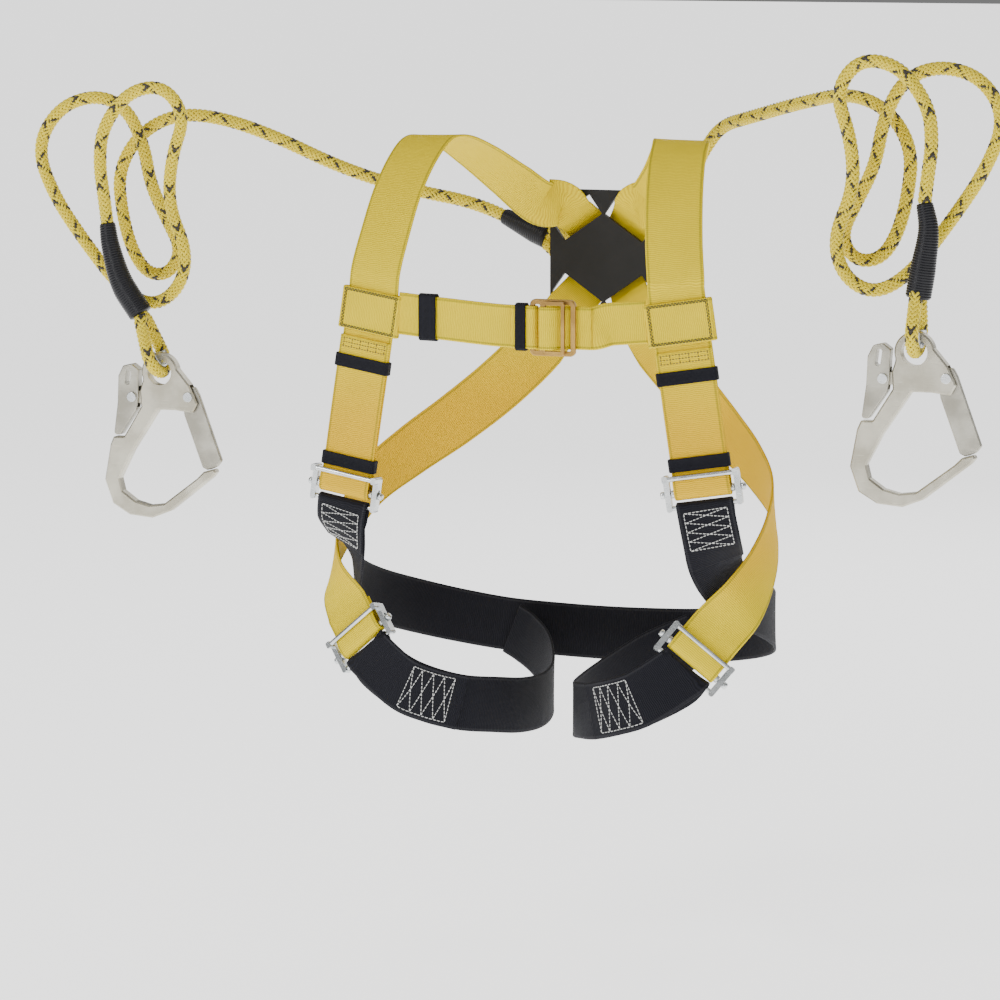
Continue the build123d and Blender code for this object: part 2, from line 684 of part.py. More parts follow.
def flat_piece(plane, outline, half_depth, rounding, bores, ease):
    """A flat forged piece cut to an outline, with round bores and eased edges."""
    with BuildPart() as piece:
        with BuildSketch(plane.offset(-half_depth)) as face:
            with BuildLine():
                Polyline(*outline, close=True)
            make_face()
            fillet(face.vertices(), rounding)
        extrude(amount=2 * half_depth)
        outer_edges = piece.faces().filter_by(Axis.Y).edges()
        if ease:
            chamfer(outer_edges, ease)
        for x, y, radius in bores:
            with BuildSketch(plane.offset(-half_depth - 1)):
                with Locations((x, y)):
                    Circle(radius)
            extrude(amount=2 * half_depth + 2, mode=Mode.SUBTRACT)
    return piece.part


def hook_body(pivot):
    """Forged hook: eye, spine, rounded bottom and nose, with a fork for the gate and a lever tang."""
    plane = hook_plane(pivot)
    half = hook_thickness / 2
    with BuildPart() as body:
        with BuildSketch(plane.offset(-half)) as face:
            with BuildLine():
                Polyline(*hook_outline, close=True)
            make_face()
            fillet(face.vertices(), 1.8)
            Circle(hook_eye_outer)
        extrude(amount=2 * half)
        chamfer(body.faces().filter_by(Axis.Y).edges(), 1.4)
        with BuildSketch(plane.offset(-half - 1)):
            Circle(hook_eye_radius)
        extrude(amount=2 * half + 2, mode=Mode.SUBTRACT)
        with BuildSketch(plane.offset(-gate_slot_half)):
            with Locations((26.5, -31.0)):
                Rectangle(37.0, 40.0)
        extrude(amount=2 * gate_slot_half, mode=Mode.SUBTRACT)
        with BuildSketch(plane.offset(-half - 1)):
            with Locations(gate_pivot):
                Circle(rivet_radius)
        extrude(amount=2 * half + 2, mode=Mode.SUBTRACT)
        with BuildSketch(plane.offset(-2.8)):
            with Locations(lever_pivot):
                Circle(6.5)
            with Locations((lever_pivot[0] + 6.5, lever_pivot[1])):
                Rectangle(13.0, 11.0)
            with Locations(lever_pivot):
                Circle(rivet_radius, mode=Mode.SUBTRACT)
        extrude(amount=5.6)
    return body.part


def hook_rivets(pivot):
    """The gate's and the lever's rivets, each with two domed heads."""
    plane = hook_plane(pivot)
    half = hook_thickness / 2
    with BuildPart() as rivets:
        for place in (gate_pivot, lever_pivot):
            with BuildSketch(plane.offset(-half - 0.3)):
                with Locations(place):
                    Circle(rivet_radius)
            extrude(amount=2 * half + 0.6)
            for start in (-half - 1.8, half + 0.3):
                with BuildSketch(plane.offset(start)):
                    with Locations(place):
                        Circle(4.6)
                extrude(amount=1.5)
    return rivets.part


def hook_gate(pivot):
    """The gate, in one piece with the knuckle that turns on its rivet."""
    bore = (gate_pivot[0], gate_pivot[1], rivet_radius + running_gap)
    plane = hook_plane(pivot).offset(-gate_slot_half + 0.3 + gate_thickness / 2)
    with BuildPart() as gate:
        add(flat_piece(plane, gate_outline, gate_thickness / 2, 2.5, [bore], 0.8))
    return gate.part


def gate_spring(pivot):
    """The gate's torsion spring, coiled on the rivet beside the gate."""
    plane = hook_plane(pivot).offset(-gate_slot_half + 0.3 + gate_thickness + 0.4)
    with BuildPart() as spring:
        with BuildSketch(plane):
            with Locations(gate_pivot):
                Circle(4.6)
                Circle(3.3, mode=Mode.SUBTRACT)
        extrude(amount=2.0)
    return spring.part


def hook_lever(pivot):
    """The locking lever: two cheeks either side of the tang, with a slotted thumb lobe."""
    plane = hook_plane(pivot)
    bore = (lever_pivot[0], lever_pivot[1], rivet_radius + running_gap)
    half = hook_thickness / 2
    with BuildPart() as lever:
        add(flat_piece(plane, lever_outline, half, 2.5, [bore], 0.8))
        with BuildSketch(plane.offset(-half - 1)):
            with Locations(Location((-32.0, -5.5, 0), (0, 0, 82))):
                SlotOverall(15.0, 5.0)
        extrude(amount=hook_thickness + 2, mode=Mode.SUBTRACT)
        with BuildSketch(plane.offset(-3.2)):
            with Locations((-27.0, -24.0)):
                Rectangle(24.0, 20.0)
        extrude(amount=6.4, mode=Mode.SUBTRACT)
    return lever.part


for word, lanyard in lanyards.items():
    ring_axis = Vector(*lanyard["ring_axis"]).normalized()
    ring_level = Vector(0, 0, 1).cross(ring_axis).normalized()
    ring_bow = Vector(lanyard["ring_side"] * ring_leg_x, ring_eye_y, plate_z)
    ring_saddle = ring_bow - ring_axis * (eye_radius - eye_to_bow)
    ring_eye = eye_plane(ring_saddle, ring_axis, ring_axis.cross(ring_level))
    ring_sleeve = [ring_eye.origin + ring_axis * distance for distance in ring_sleeve_span]
    hook_saddle = Vector(*lanyard["hook_saddle"])
    hook_axis = (Vector(*lanyard["hook_sleeve"][-1]) - hook_saddle).normalized()
    hook_eye = eye_plane(hook_saddle, hook_axis, Vector(0, 1, 0))
    keep(f"rope_{word}", rope_tube(f"rope_{word}", lanyard["route"], rope_diameter))
    for end, plane, points in (("ring", ring_eye, ring_sleeve), ("hook", hook_eye, lanyard["hook_sleeve"])):
        keep(f"{end}_eye_{word}", rope_eye(plane))
        keep(f"{end}_thimble_{word}", thimble(plane))
        keep(f"{end}_sleeve_{word}", sleeve(points))
    keep(f"hook_body_{word}", hook_body(hook_saddle))
    keep(f"hook_rivets_{word}", hook_rivets(hook_saddle))
    keep(f"hook_gate_{word}", hook_gate(hook_saddle))
    keep(f"hook_gate_spring_{word}", gate_spring(hook_saddle))
    keep(f"hook_lever_{word}", hook_lever(hook_saddle))

print(f"{len(parts)} pieces")
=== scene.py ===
"""The looks of a full-body safety harness with two rope lanyards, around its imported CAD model.

The frame is in metres. Routes and sizes are given in millimetres and scaled by MM.
+Z is up, the wearer faces -Y and the wearer's left is +X.
"""

import json
from bisect import bisect_right
from math import atan2, ceil, cos, hypot, pi, radians, sin

import bmesh
import bpy
from mathutils import Matrix, Vector


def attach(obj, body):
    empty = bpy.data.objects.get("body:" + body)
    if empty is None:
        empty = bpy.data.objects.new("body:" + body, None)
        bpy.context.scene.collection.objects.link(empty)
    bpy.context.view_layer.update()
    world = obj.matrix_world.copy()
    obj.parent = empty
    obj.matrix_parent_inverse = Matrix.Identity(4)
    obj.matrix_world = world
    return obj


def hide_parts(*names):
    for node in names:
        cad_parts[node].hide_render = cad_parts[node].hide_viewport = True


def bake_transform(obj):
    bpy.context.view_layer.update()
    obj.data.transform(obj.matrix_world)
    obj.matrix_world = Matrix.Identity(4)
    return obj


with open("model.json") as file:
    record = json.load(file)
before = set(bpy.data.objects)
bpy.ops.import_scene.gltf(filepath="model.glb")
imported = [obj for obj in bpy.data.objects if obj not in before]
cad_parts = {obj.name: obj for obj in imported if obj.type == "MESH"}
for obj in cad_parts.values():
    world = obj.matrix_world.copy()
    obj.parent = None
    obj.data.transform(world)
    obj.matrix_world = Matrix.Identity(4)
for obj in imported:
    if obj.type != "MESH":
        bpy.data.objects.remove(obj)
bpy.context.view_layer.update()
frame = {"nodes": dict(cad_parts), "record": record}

MM = 0.001
UV_SCALE = 0.01  # webbing UVs are in hundreds of millimetres
SIDES = {"left": 1, "right": -1}

# --------------------
# Sizes shared with the CAD model, in millimetres

STRAP_WIDTH = 51.0
STRAP_THICKNESS = 2.2
CHEST_WIDTH = 38.0
PLATE_WIDTH = 40.0
BAR_RADIUS = 3.5
WRAP_RADIUS = BAR_RADIUS + 0.35 + STRAP_THICKNESS / 2
LOOP_RAIL_Y = -12.5
FOLD_RISE = 3.7
LOOP_RAIL_RADIUS = 2.2
LOOP_RADIUS = LOOP_RAIL_RADIUS + 0.35 + STRAP_THICKNESS / 2
LAYER = 1.75
ROPE = 12.0
EYE_RADIUS = 16.5
EYE_NECK_RADIUS = 8.0
EYE_NECK_HEIGHT = 30.0
PLATE_Z = -118.0
TORSO_Z = {1: -300.0, -1: -314.0}
TORSO_TURN = 8.0
CHEST_Z = -153.0
BUCKLE_Z = -159.0
FRONT_X, FRONT_X_Z = 145.0, -150.0  # the front straps' place, and the height that it is for
FRONT_TAPER = 0.151  # how far they spread for each millimetre down
FRONT_Y = -98.0
LEG_ADJUSTER = (157.0, -90.0, -452.0)
LEG_UP = (0.56, 0.34, 0.75)
STITCH_FACE = STRAP_THICKNESS / 2 + 0.12
STRAP_STEP = 2.2


def facing(turn, tilt=0.0):
    """Outward direction: turn 0 faces the front, 90 the wearer's left; tilt lifts it."""
    level = cos(radians(tilt))
    return Vector((sin(radians(turn)) * level, -cos(radians(turn)) * level, sin(radians(tilt))))


class Flat:
    """A plane with an origin, x across a strap, y up along it and z outward."""

    def __init__(self, origin, x, z):
        self.origin = Vector(origin)
        self.x = Vector(x).normalized()
        self.z = Vector(z).normalized()
        self.y = self.z.cross(self.x).normalized()

    def at(self, x, y, z=0.0):
        return self.origin + self.x * x + self.y * y + self.z * z


def strap_plane(origin, up, outward):
    """Plane on a strap from its up direction and roughly its outward one."""
    across = up.cross(outward).normalized()
    return Flat(origin, across, across.cross(up))


def front_point(side, z):
    return Vector((side * (FRONT_X + FRONT_TAPER * (FRONT_X_Z - z)), FRONT_Y, z))


def front_plane(side, z):
    up = (front_point(side, z + 1) - front_point(side, z)).normalized()
    return strap_plane(front_point(side, z), up, facing(side * TORSO_TURN))


def leg_plane(side):
    up = Vector((side * LEG_UP[0], *LEG_UP[1:])).normalized()
    origin = Vector((side * LEG_ADJUSTER[0], *LEG_ADJUSTER[1:]))
    return strap_plane(origin, up, facing(side * 20, 9.6))


def on_side(side, rows):
    return [(Vector((side * x, y, z)), facing(side * turn, tilt)) for x, y, z, turn, tilt in rows]


def in_plane(plane, rows):
    """Stations from (y, z, normal angle) rows, 0 facing out and 90 facing up."""
    result = []
    for y, z, angle in rows:
        normal = plane.z * cos(radians(angle)) + plane.y * sin(radians(angle))
        result.append((plane.at(0, y, z), normal))
    return result


def turn_round(radius):
    """Rows for half a turn under a bar, from in front of it to behind."""
    rows = []
    for step in (90, 45, 0, -45, -90):
        rows.append((-radius * cos(radians(step)), radius * sin(radians(step)), step - 90))
    return rows


# --------------------
# Camera: on the photograph's side, turned 20 degrees to the wearer's left and 8 degrees up

CAMERA_TURN = 20.0
CAMERA_RISE = 8.0
CAMERA_DISTANCE = 4.0
VIEW_WIDTH = 0.90  # metres across the frame at the camera's target
TARGET_RIGHT = -0.054
TARGET_UP = -0.326
SENSOR = 36.0


def add_camera():
    turn, rise = radians(CAMERA_TURN), radians(CAMERA_RISE)
    back = Vector((sin(turn) * cos(rise), -cos(turn) * cos(rise), sin(rise)))
    right = Vector((cos(turn), sin(turn), 0))
    up = back.cross(right)
    target = right * TARGET_RIGHT + up * TARGET_UP
    data = bpy.data.cameras.new("camera")
    data.sensor_width = SENSOR
    data.lens = SENSOR * CAMERA_DISTANCE / VIEW_WIDTH
    data.clip_end = 50
    camera = bpy.data.objects.new("camera", data)
    camera.matrix_world = Matrix.Translation(target + back * CAMERA_DISTANCE) @ Matrix(
        (right, up, back)
    ).transposed().to_4x4()
    bpy.context.collection.objects.link(camera)
    bpy.context.scene.camera = camera


add_camera()

# --------------------
# Node helpers and materials


class Nodes:
    """Short calls for building a material's node tree."""

    def __init__(self, name):
        self.material = bpy.data.materials.new(name)
        self.material.use_nodes = True
        self.tree = self.material.node_tree
        self.shader = self.tree.nodes["Principled BSDF"]

    def add(self, kind, inputs=(), **settings):
        node = self.tree.nodes.new(kind)
        for key, value in settings.items():
            setattr(node, key, value)
        for key, value in dict(inputs).items():
            self.feed(node.inputs[key], value)
        return node

    def feed(self, socket, value):
        if isinstance(value, bpy.types.NodeSocket):
            self.tree.links.new(value, socket)
        else:
            socket.default_value = value

    def math(self, operation, a, b=0.0):
        node = self.tree.nodes.new("ShaderNodeMath")
        node.operation = operation
        self.feed(node.inputs[0], a)
        self.feed(node.inputs[1], b)
        return node.outputs[0]

    def scaled(self, value, factor):
        return self.math("MULTIPLY", value, factor)

    def mix(self, factor, a, b):
        node = self.tree.nodes.new("ShaderNodeMix")
        node.data_type = "RGBA"
        self.feed(node.inputs[0], factor)
        self.feed(node.inputs[6], a)
        self.feed(node.inputs[7], b)
        return node.outputs[2]

    def ramp(self, value, low, high):
        node = self.tree.nodes.new("ShaderNodeMapRange")
        node.interpolation_type = "SMOOTHSTEP"
        self.feed(node.inputs["Value"], value)
        node.inputs["From Min"].default_value = low
        node.inputs["From Max"].default_value = high
        return node.outputs[0]

    def noise(self, vector, scale, detail=3.0):
        node = self.add("ShaderNodeTexNoise", {"Scale": scale, "Detail": detail})
        self.feed(node.inputs["Vector"], vector)
        return node.outputs["Fac"]

    def finish(self, color, roughness, height=None, strength=0.3, distance=0.001, **fixed):
        self.feed(self.shader.inputs["Base Color"], color)
        self.feed(self.shader.inputs["Roughness"], roughness)
        for key, value in fixed.items():
            self.shader.inputs[key.replace("_", " ")].default_value = value
        if height is not None:
            bump = self.add("ShaderNodeBump", {"Strength": strength, "Distance": distance})
            self.feed(bump.inputs["Height"], height)
            self.feed(self.shader.inputs["Normal"], bump.outputs["Normal"])
        return self.material


def toned(color, factor):
    return [min(1, c * factor) for c in color[:3]] + [1]


def webbing_material(name, base, shade, edge, width, rib, warm=None, stain=(0.30, 0.20, 0.02, 1), sheen=0.0):
    """Woven webbing: crosswise ribs, lengthwise ends, a darker line along each edge.

    A warm tone takes over between two heights, given in metres.
    """
    n = Nodes(name)
    uv = n.add("ShaderNodeUVMap", uv_map="UVMap")
    split = n.add("ShaderNodeSeparateXYZ", {"Vector": uv.outputs["UV"]})
    across = n.math("DIVIDE", split.outputs["X"], UV_SCALE)
    along = n.math("DIVIDE", split.outputs["Y"], UV_SCALE)
    position = n.add("ShaderNodeTexCoord").outputs["Object"]
    broad = n.noise(position, 22.0)
    fine = n.noise(position, 900.0, 2.0)
    # Ribs lean a little one way and then the other across the width, as a herringbone does
    zigzag = n.math("PINGPONG", across, 6.0)
    leaning = n.math("ADD", along, n.scaled(zigzag, 0.12))
    rib_wave = n.math("SINE", n.scaled(leaning, 2 * pi / rib))
    end_wave = n.math("SINE", n.scaled(across, 2 * pi / WARP_PITCH))
    weave = n.math("ADD", n.scaled(rib_wave, 0.7), n.scaled(end_wave, 0.3))
    rib_tone = n.ramp(weave, -1.0, 0.6)
    color = n.mix(rib_tone, shade, base)
    if warm is not None:
        height = n.add("ShaderNodeSeparateXYZ", {"Vector": position}).outputs["Z"]
        low = n.math("MULTIPLY", n.ramp(height, -0.16, -0.27), n.ramp(height, -0.42, -0.35))
        color = n.mix(n.scaled(low, 0.7), color, n.mix(rib_tone, toned(warm, 0.72), warm))
    color = n.mix(n.scaled(n.ramp(broad, 0.42, 0.75), 0.08), color, stain)
    side_distance = n.math("SUBTRACT", width / 2, n.math("ABSOLUTE", across))
    line = n.math("MULTIPLY", n.ramp(side_distance, 3.6, 2.4), n.ramp(side_distance, 0.9, 1.7))
    color = n.mix(n.scaled(line, 0.55), color, edge)
    # Painted shade: the outermost 1.2 mm of each edge is darkened toward a shaded copy of the base colour,
    # broken up by fine noise
    edge_shade = n.math("MULTIPLY", n.ramp(side_distance, 1.2, 0.0), n.ramp(fine, 0.45, 0.65))
    color = n.mix(n.scaled(edge_shade, 0.35), color, toned(base, 0.55))
    roughness = n.math("ADD", 0.55, n.scaled(fine, 0.22))
    height = n.math("ADD", weave, n.scaled(fine, 0.5))
    return n.finish(color, roughness, height, 0.6, 0.0004, Sheen_Weight=sheen, Specular_IOR_Level=0.18)


RIB_PITCH = 1.7
WARP_PITCH = 1.1
YELLOW = (0.95, 0.74, 0.0, 1)
YELLOW_SHADE = (0.72, 0.50, 0.0, 1)
ORANGE = (0.93, 0.50, 0.0, 1)
OLIVE = (0.22, 0.19, 0.01, 1)
BLACK = (0.0075, 0.008, 0.014, 1)
BLACK_SHADE = (0.002, 0.002, 0.004, 1)
BLACK_STAIN = (0.012, 0.012, 0.018, 1)

yellow_webbing = webbing_material(
    "yellow_webbing", YELLOW, YELLOW_SHADE, OLIVE, STRAP_WIDTH, RIB_PITCH, ORANGE
)
chest_webbing = webbing_material("chest_webbing", YELLOW, YELLOW_SHADE, OLIVE, CHEST_WIDTH, RIB_PITCH)
black_webbing = webbing_material(
    "black_webbing", BLACK, BLACK_SHADE, (0.03, 0.03, 0.035, 1), STRAP_WIDTH, RIB_PITCH, None,
    BLACK_STAIN, 0.04,
)
elastic = webbing_material("elastic", BLACK, BLACK_SHADE, BLACK, 12.0, 1.0, None, BLACK_STAIN, 0.04)


def thread_material(name, color):
    n = Nodes(name)
    position = n.add("ShaderNodeTexCoord").outputs["Object"]
    twist = n.noise(position, 2500.0, 1.0)
    tone = n.mix(twist, toned(color, 0.6), color)
    return n.finish(tone, 0.55, twist, 0.4, 0.0003, Sheen_Weight=0.2)


white_thread = thread_material("white_thread", (0.80, 0.80, 0.78, 1))
dark_thread = thread_material("dark_thread", (0.035, 0.03, 0.02, 1))
brown_thread = thread_material("brown_thread", (0.20, 0.13, 0.03, 1))


def rope_material(name, base, shade):
    """Braided yarn: fine filaments along each strand."""
    n = Nodes(name)
    uv = n.add("ShaderNodeUVMap", uv_map="UVMap")
    split = n.add("ShaderNodeSeparateXYZ", {"Vector": uv.outputs["UV"]})
    position = n.add("ShaderNodeTexCoord").outputs["Object"]
    filaments = n.math("SINE", n.scaled(split.outputs["X"], 2 * pi * 9))
    fuzz = n.noise(position, 700.0, 3.0)
    broad = n.noise(position, 30.0)
    tone = n.math("ADD", n.scaled(filaments, 0.25), fuzz)
    color = n.mix(n.ramp(tone, 0.2, 0.8), shade, base)
    color = n.mix(n.scaled(n.ramp(broad, 0.5, 0.8), 0.25), color, toned(base, 0.6))
    return n.finish(color, 0.6, tone, 0.5, 0.0004, Sheen_Weight=0.3, Sheen_Roughness=0.4)


rope_yellow = rope_material("rope_yellow", (0.96, 0.80, 0.01, 1), (0.74, 0.54, 0.01, 1))
rope_pale = rope_material("rope_pale", (0.92, 0.80, 0.12, 1), (0.70, 0.55, 0.05, 1))
rope_dark = rope_material("rope_dark", (0.05, 0.04, 0.025, 1), (0.015, 0.012, 0.01, 1))


def metal_material(name, base, dull, roughness, metallic=1.0):
    """Plated steel: broad tone changes, fine grain and small scratches."""
    n = Nodes(name)
    position = n.add("ShaderNodeTexCoord").outputs["Object"]
    broad = n.noise(position, 35.0, 4.0)
    fine = n.noise(position, 1600.0, 2.0)
    stretched = n.add("ShaderNodeMapping", {"Vector": position, "Scale": (60.0, 900.0, 900.0)})
    scratch = n.ramp(n.noise(stretched.outputs["Vector"], 1.0, 2.0), 0.62, 0.72)
    color = n.mix(n.ramp(broad, 0.35, 0.7), dull, base)
    color = n.mix(n.scaled(scratch, 0.25), color, toned(base, 1.25))
    rough = n.math("ADD", roughness, n.scaled(broad, 0.15))
    rough = n.math("ADD", rough, n.scaled(scratch, -0.08))
    height = n.math("ADD", fine, n.scaled(scratch, -0.6))
    return n.finish(color, rough, height, 0.12, 0.0004, Metallic=metallic)


zinc = metal_material("zinc", (0.78, 0.80, 0.80, 1), (0.56, 0.59, 0.60, 1), 0.20)
hook_zinc = metal_material("hook_zinc", (0.66, 0.63, 0.52, 1), (0.46, 0.43, 0.34, 1), 0.30, metallic=0.85)
gate_zinc = metal_material("gate_zinc", (0.56, 0.54, 0.46, 1), (0.36, 0.34, 0.28, 1), 0.33, metallic=0.85)
gold = metal_material("gold_finish", (0.58, 0.36, 0.10, 1), (0.36, 0.21, 0.06, 1), 0.28, metallic=0.9)


def plastic_material(name, base, roughness):
    n = Nodes(name)
    position = n.add("ShaderNodeTexCoord").outputs["Object"]
    grain = n.noise(position, 1400.0, 2.0)
    broad = n.noise(position, 40.0)
    color = n.mix(broad, base, toned(base, 1.7))
    rough = n.math("ADD", roughness, n.scaled(grain, 0.2))
    return n.finish(color, rough, grain, 0.25, 0.0003, Specular_IOR_Level=0.22)


black_plastic = plastic_material("black_plastic", (0.013, 0.013, 0.014, 1), 0.38)
sleeve_black = plastic_material("sleeve_black", (0.010, 0.010, 0.012, 1), 0.24)

# --------------------
# Mesh helpers


def skin(rows, count, base=0, flip=False, capped=True):
    """Faces over rings of vertices that follow each other, with a cap at each end."""
    faces = []
    for row in range(rows - 1):
        for k in range(count):
            a, b = base + row * count + k, base + row * count + (k + 1) % count
            faces.append((a, a + count, b + count, b) if flip else (a, b, b + count, a + count))
    if capped:
        first = tuple(range(base, base + count))
        last = tuple(range(base + (rows - 1) * count, base + rows * count))
        faces += [first, last[::-1]] if flip else [first[::-1], last]
    return faces


def make_object(name, vertices, faces, materials, uvs=None, indices=None):
    """A mesh object from vertices in millimetres."""
    mesh = bpy.data.meshes.new(name)
    mesh.from_pydata([Vector(v) * MM for v in vertices], [], faces)
    for material in materials:
        mesh.materials.append(material)
    if uvs is not None:
        layer = mesh.uv_layers.new(name="UVMap")
        for loop in mesh.loops:
            layer.data[loop.index].uv = uvs[loop.vertex_index]
    if indices is not None:
        mesh.polygons.foreach_set("material_index", indices)
    mesh.polygons.foreach_set("use_smooth", [True] * len(mesh.polygons))
    mesh.validate()
    mesh.update()
    obj = bpy.data.objects.new(name, mesh)
    bpy.context.collection.objects.link(obj)
    return obj


def catmull(values, times, t, index):
    """Cubic Hermite value between two stations, with slopes from their neighbours."""
    last = len(values) - 1
    i0, i1, i2, i3 = max(index - 1, 0), index, index + 1, min(index + 2, last)
    span = times[i2] - times[i1]
    slope1 = (values[i2] - values[i0]) / max(times[i2] - times[i0], 1e-9)
    slope2 = (values[i3] - values[i1]) / max(times[i3] - times[i1], 1e-9)
    s = (t - times[i1]) / span
    h00 = 2 * s**3 - 3 * s**2 + 1
    h10 = s**3 - 2 * s**2 + s
    h01 = -2 * s**3 + 3 * s**2
    h11 = s**3 - s**2
    return values[i1] * h00 + slope1 * (h10 * span) + values[i2] * h01 + slope2 * (h11 * span)


def spacing(points):
    """A spline parameter for each point, from the square roots of the gaps between them."""
    times = [0.0]
    for a, b in zip(points, points[1:]):
        times.append(times[-1] + (b - a).length ** 0.5)
    return times


class Strap:
    """A smooth band through stations. at(s) gives its middle and frame s millimetres along."""

    def __init__(self, stations, width, step=STRAP_STEP, widths=None):
        points = [Vector(p) for p, _ in stations]
        normals = [stations[0][1].copy()]
        for _, normal in stations[1:]:
            normals.append(-normal if normal.dot(normals[-1]) < 0 else normal.copy())
        widths = widths or [width] * len(points)
        times = spacing(points)
        self.points, self.normals, self.widths = [], [], []
        for index in range(len(points) - 1):
            run = (points[index + 1] - points[index]).length
            count = max(2, ceil(run / step))
            for k in range(count):
                t = times[index] + (times[index + 1] - times[index]) * k / count
                self.points.append(catmull(points, times, t, index))
                blend = k / count
                self.normals.append(normals[index].lerp(normals[index + 1], blend))
                self.widths.append(widths[index] + (widths[index + 1] - widths[index]) * blend)
        self.points.append(points[-1])
        self.normals.append(normals[-1])
        self.widths.append(widths[-1])
        self.lengths = [0.0]
        for a, b in zip(self.points, self.points[1:]):
            self.lengths.append(self.lengths[-1] + (b - a).length)
        self.total = self.lengths[-1]
        self.frames = []
        last = len(self.points) - 1
        for index, normal in enumerate(self.normals):
            along = (self.points[min(index + 1, last)] - self.points[max(index - 1, 0)]).normalized()
            across = along.cross(normal).normalized()
            self.frames.append((across, across.cross(along).normalized()))

    def find(self, s):
        """The steps on either side of s, and how far s is between them."""
        s = min(max(s, 0.0), self.total)
        low = min(bisect_right(self.lengths, s) - 1, len(self.lengths) - 2)
        run = self.lengths[low + 1] - self.lengths[low]
        return low, low + 1, (s - self.lengths[low]) / max(run, 1e-9)

    def width_at(self, s):
        low, high, share = self.find(s)
        return self.widths[low] + (self.widths[high] - self.widths[low]) * share

    def at(self, s, u=0.0, h=0.0):
        """Point at s along, u across and h out from the middle surface."""
        low, high, share = self.find(s)
        point = self.points[low].lerp(self.points[high], share)
        across = self.frames[low][0].lerp(self.frames[high][0], share).normalized()
        out = self.frames[low][1].lerp(self.frames[high][1], share).normalized()
        return point + across * u + out * h


def strap_profile(width, thickness, crown=0.12):
    """Closed outline of webbing: flat faces, rounded selvedges a little thicker than the rest."""
    half, edge = width / 2, thickness / 2
    top = []
    for u in (-1.0, -0.97, -0.93, -0.8, -0.5, 0.0, 0.5, 0.8, 0.93, 0.97, 1.0):
        x = u * (half - 0.5)
        lift = edge + (crown if abs(u) > 0.9 else 0.0)
        if abs(u) == 1.0:
            lift = edge * 0.75
        top.append((x, lift))
    right = [(half, 0.0)]
    low = [(x, -h) for x, h in reversed(top)]
    left = [(-half, 0.0)]
    return top + right + low + left


END_ROUNDING = 0.35


def ribbon(name, strap, material, thickness=STRAP_THICKNESS, end=None, lift=0.0):
    """Mesh of a strap up to a distance, lifted off its own middle if it is a second layer."""
    end = strap.total if end is None else end
    stops = [s for s in strap.lengths if 0 < s < end]
    stops = sorted({0.0, END_ROUNDING, *stops, end - END_ROUNDING, end})
    vertices, uvs = [], []
    for index, s in enumerate(stops):
        width = strap.width_at(s)
        squash = 0.6 if index in (0, len(stops) - 1) else 1.0
        profile = strap_profile(width, thickness * squash)
        for u, h in profile:
            vertices.append(strap.at(s, u, h + lift))
            uvs.append((u * UV_SCALE, s * UV_SCALE))
    return make_object(name, vertices, skin(len(stops), len(profile)), [material], uvs)


def join_meshes(name, parts, material):
    """One object from (vertices, faces) parts."""
    vertices, faces = [], []
    for part_vertices, part_faces in parts:
        base = len(vertices)
        vertices += part_vertices
        faces += [tuple(base + i for i in face) for face in part_faces]
    return make_object(name, vertices, faces, [material])


def stitch_part(a, b, out, radius):
    """One stitch: a short thread that rises in its middle and dips at both ends."""
    along = (b - a).normalized()
    side = along.cross(out).normalized()
    vertices = []
    # Share of the length, share of the radius, and rise in radii
    stations = ((0.0, 0.45, -0.6), (0.18, 0.95, 0.1), (0.5, 1.0, 0.45), (0.82, 0.95, 0.1), (1.0, 0.45, -0.6))
    ring = 6
    for share, size, rise in stations:
        centre = a.lerp(b, share) + out * (rise * radius)
        for k in range(ring):
            angle = 2 * pi * k / ring
            vertices.append(centre + side * (cos(angle) * radius * size) + out * (sin(angle) * radius * size))
    return vertices, skin(len(stations), ring)


def stitch_line(strap, path, height, pitch=3.4, gap=0.7, radius=0.42):
    """Stitches along a path of (s, u) points on one face of a strap; height is signed."""
    parts = []
    face = 1 if height > 0 else -1
    for (s0, u0), (s1, u1) in zip(path, path[1:]):
        length = hypot(s1 - s0, u1 - u0)
        count = max(1, round(length / pitch))
        middle_s, middle_u = (s0 + s1) / 2, (u0 + u1) / 2
        out = strap.at(middle_s, middle_u, face) - strap.at(middle_s, middle_u, 0)
        for k in range(count):
            begin = (k + gap / pitch / 2) / count
            finish = (k + 1 - gap / pitch / 2) / count
            a = strap.at(s0 + (s1 - s0) * begin, u0 + (u1 - u0) * begin, height)
            b = strap.at(s0 + (s1 - s0) * finish, u0 + (u1 - u0) * finish, height)
            parts.append(stitch_part(a, b, out.normalized(), radius))
    return parts


def box_stitch(strap, start, end, half_width):
    """A sewn box on a strap's face, with two crossings of W stitching inside it."""
    box = [(start, -half_width), (end, -half_width), (end, half_width), (start, half_width)]
    box.append(box[0])
    parts = stitch_line(strap, box, STITCH_FACE)
    inner = 0.98
    count = 4
    for flip in (1, -1):
        zigzag = []
        for k in range(count + 1):
            s = start + (end - start) * k / count
            zigzag.append((s, half_width * inner * (flip if k % 2 else -flip)))
        parts += stitch_line(strap, zigzag, STITCH_FACE)
    return parts


def ride(obj, body, slot, *nodes):
    """Rides a piece on a body and hides the CAD nodes it stands for. The slot is not used."""
    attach(obj, body)
    if nodes:
        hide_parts(*nodes)
    return obj


BODY_OF = {
    node: body for body, nodes in frame["record"]["behaviour"]["bodies"].items() for node in nodes
}

# --------------------
# Rope lanyards: routes first, then their braid


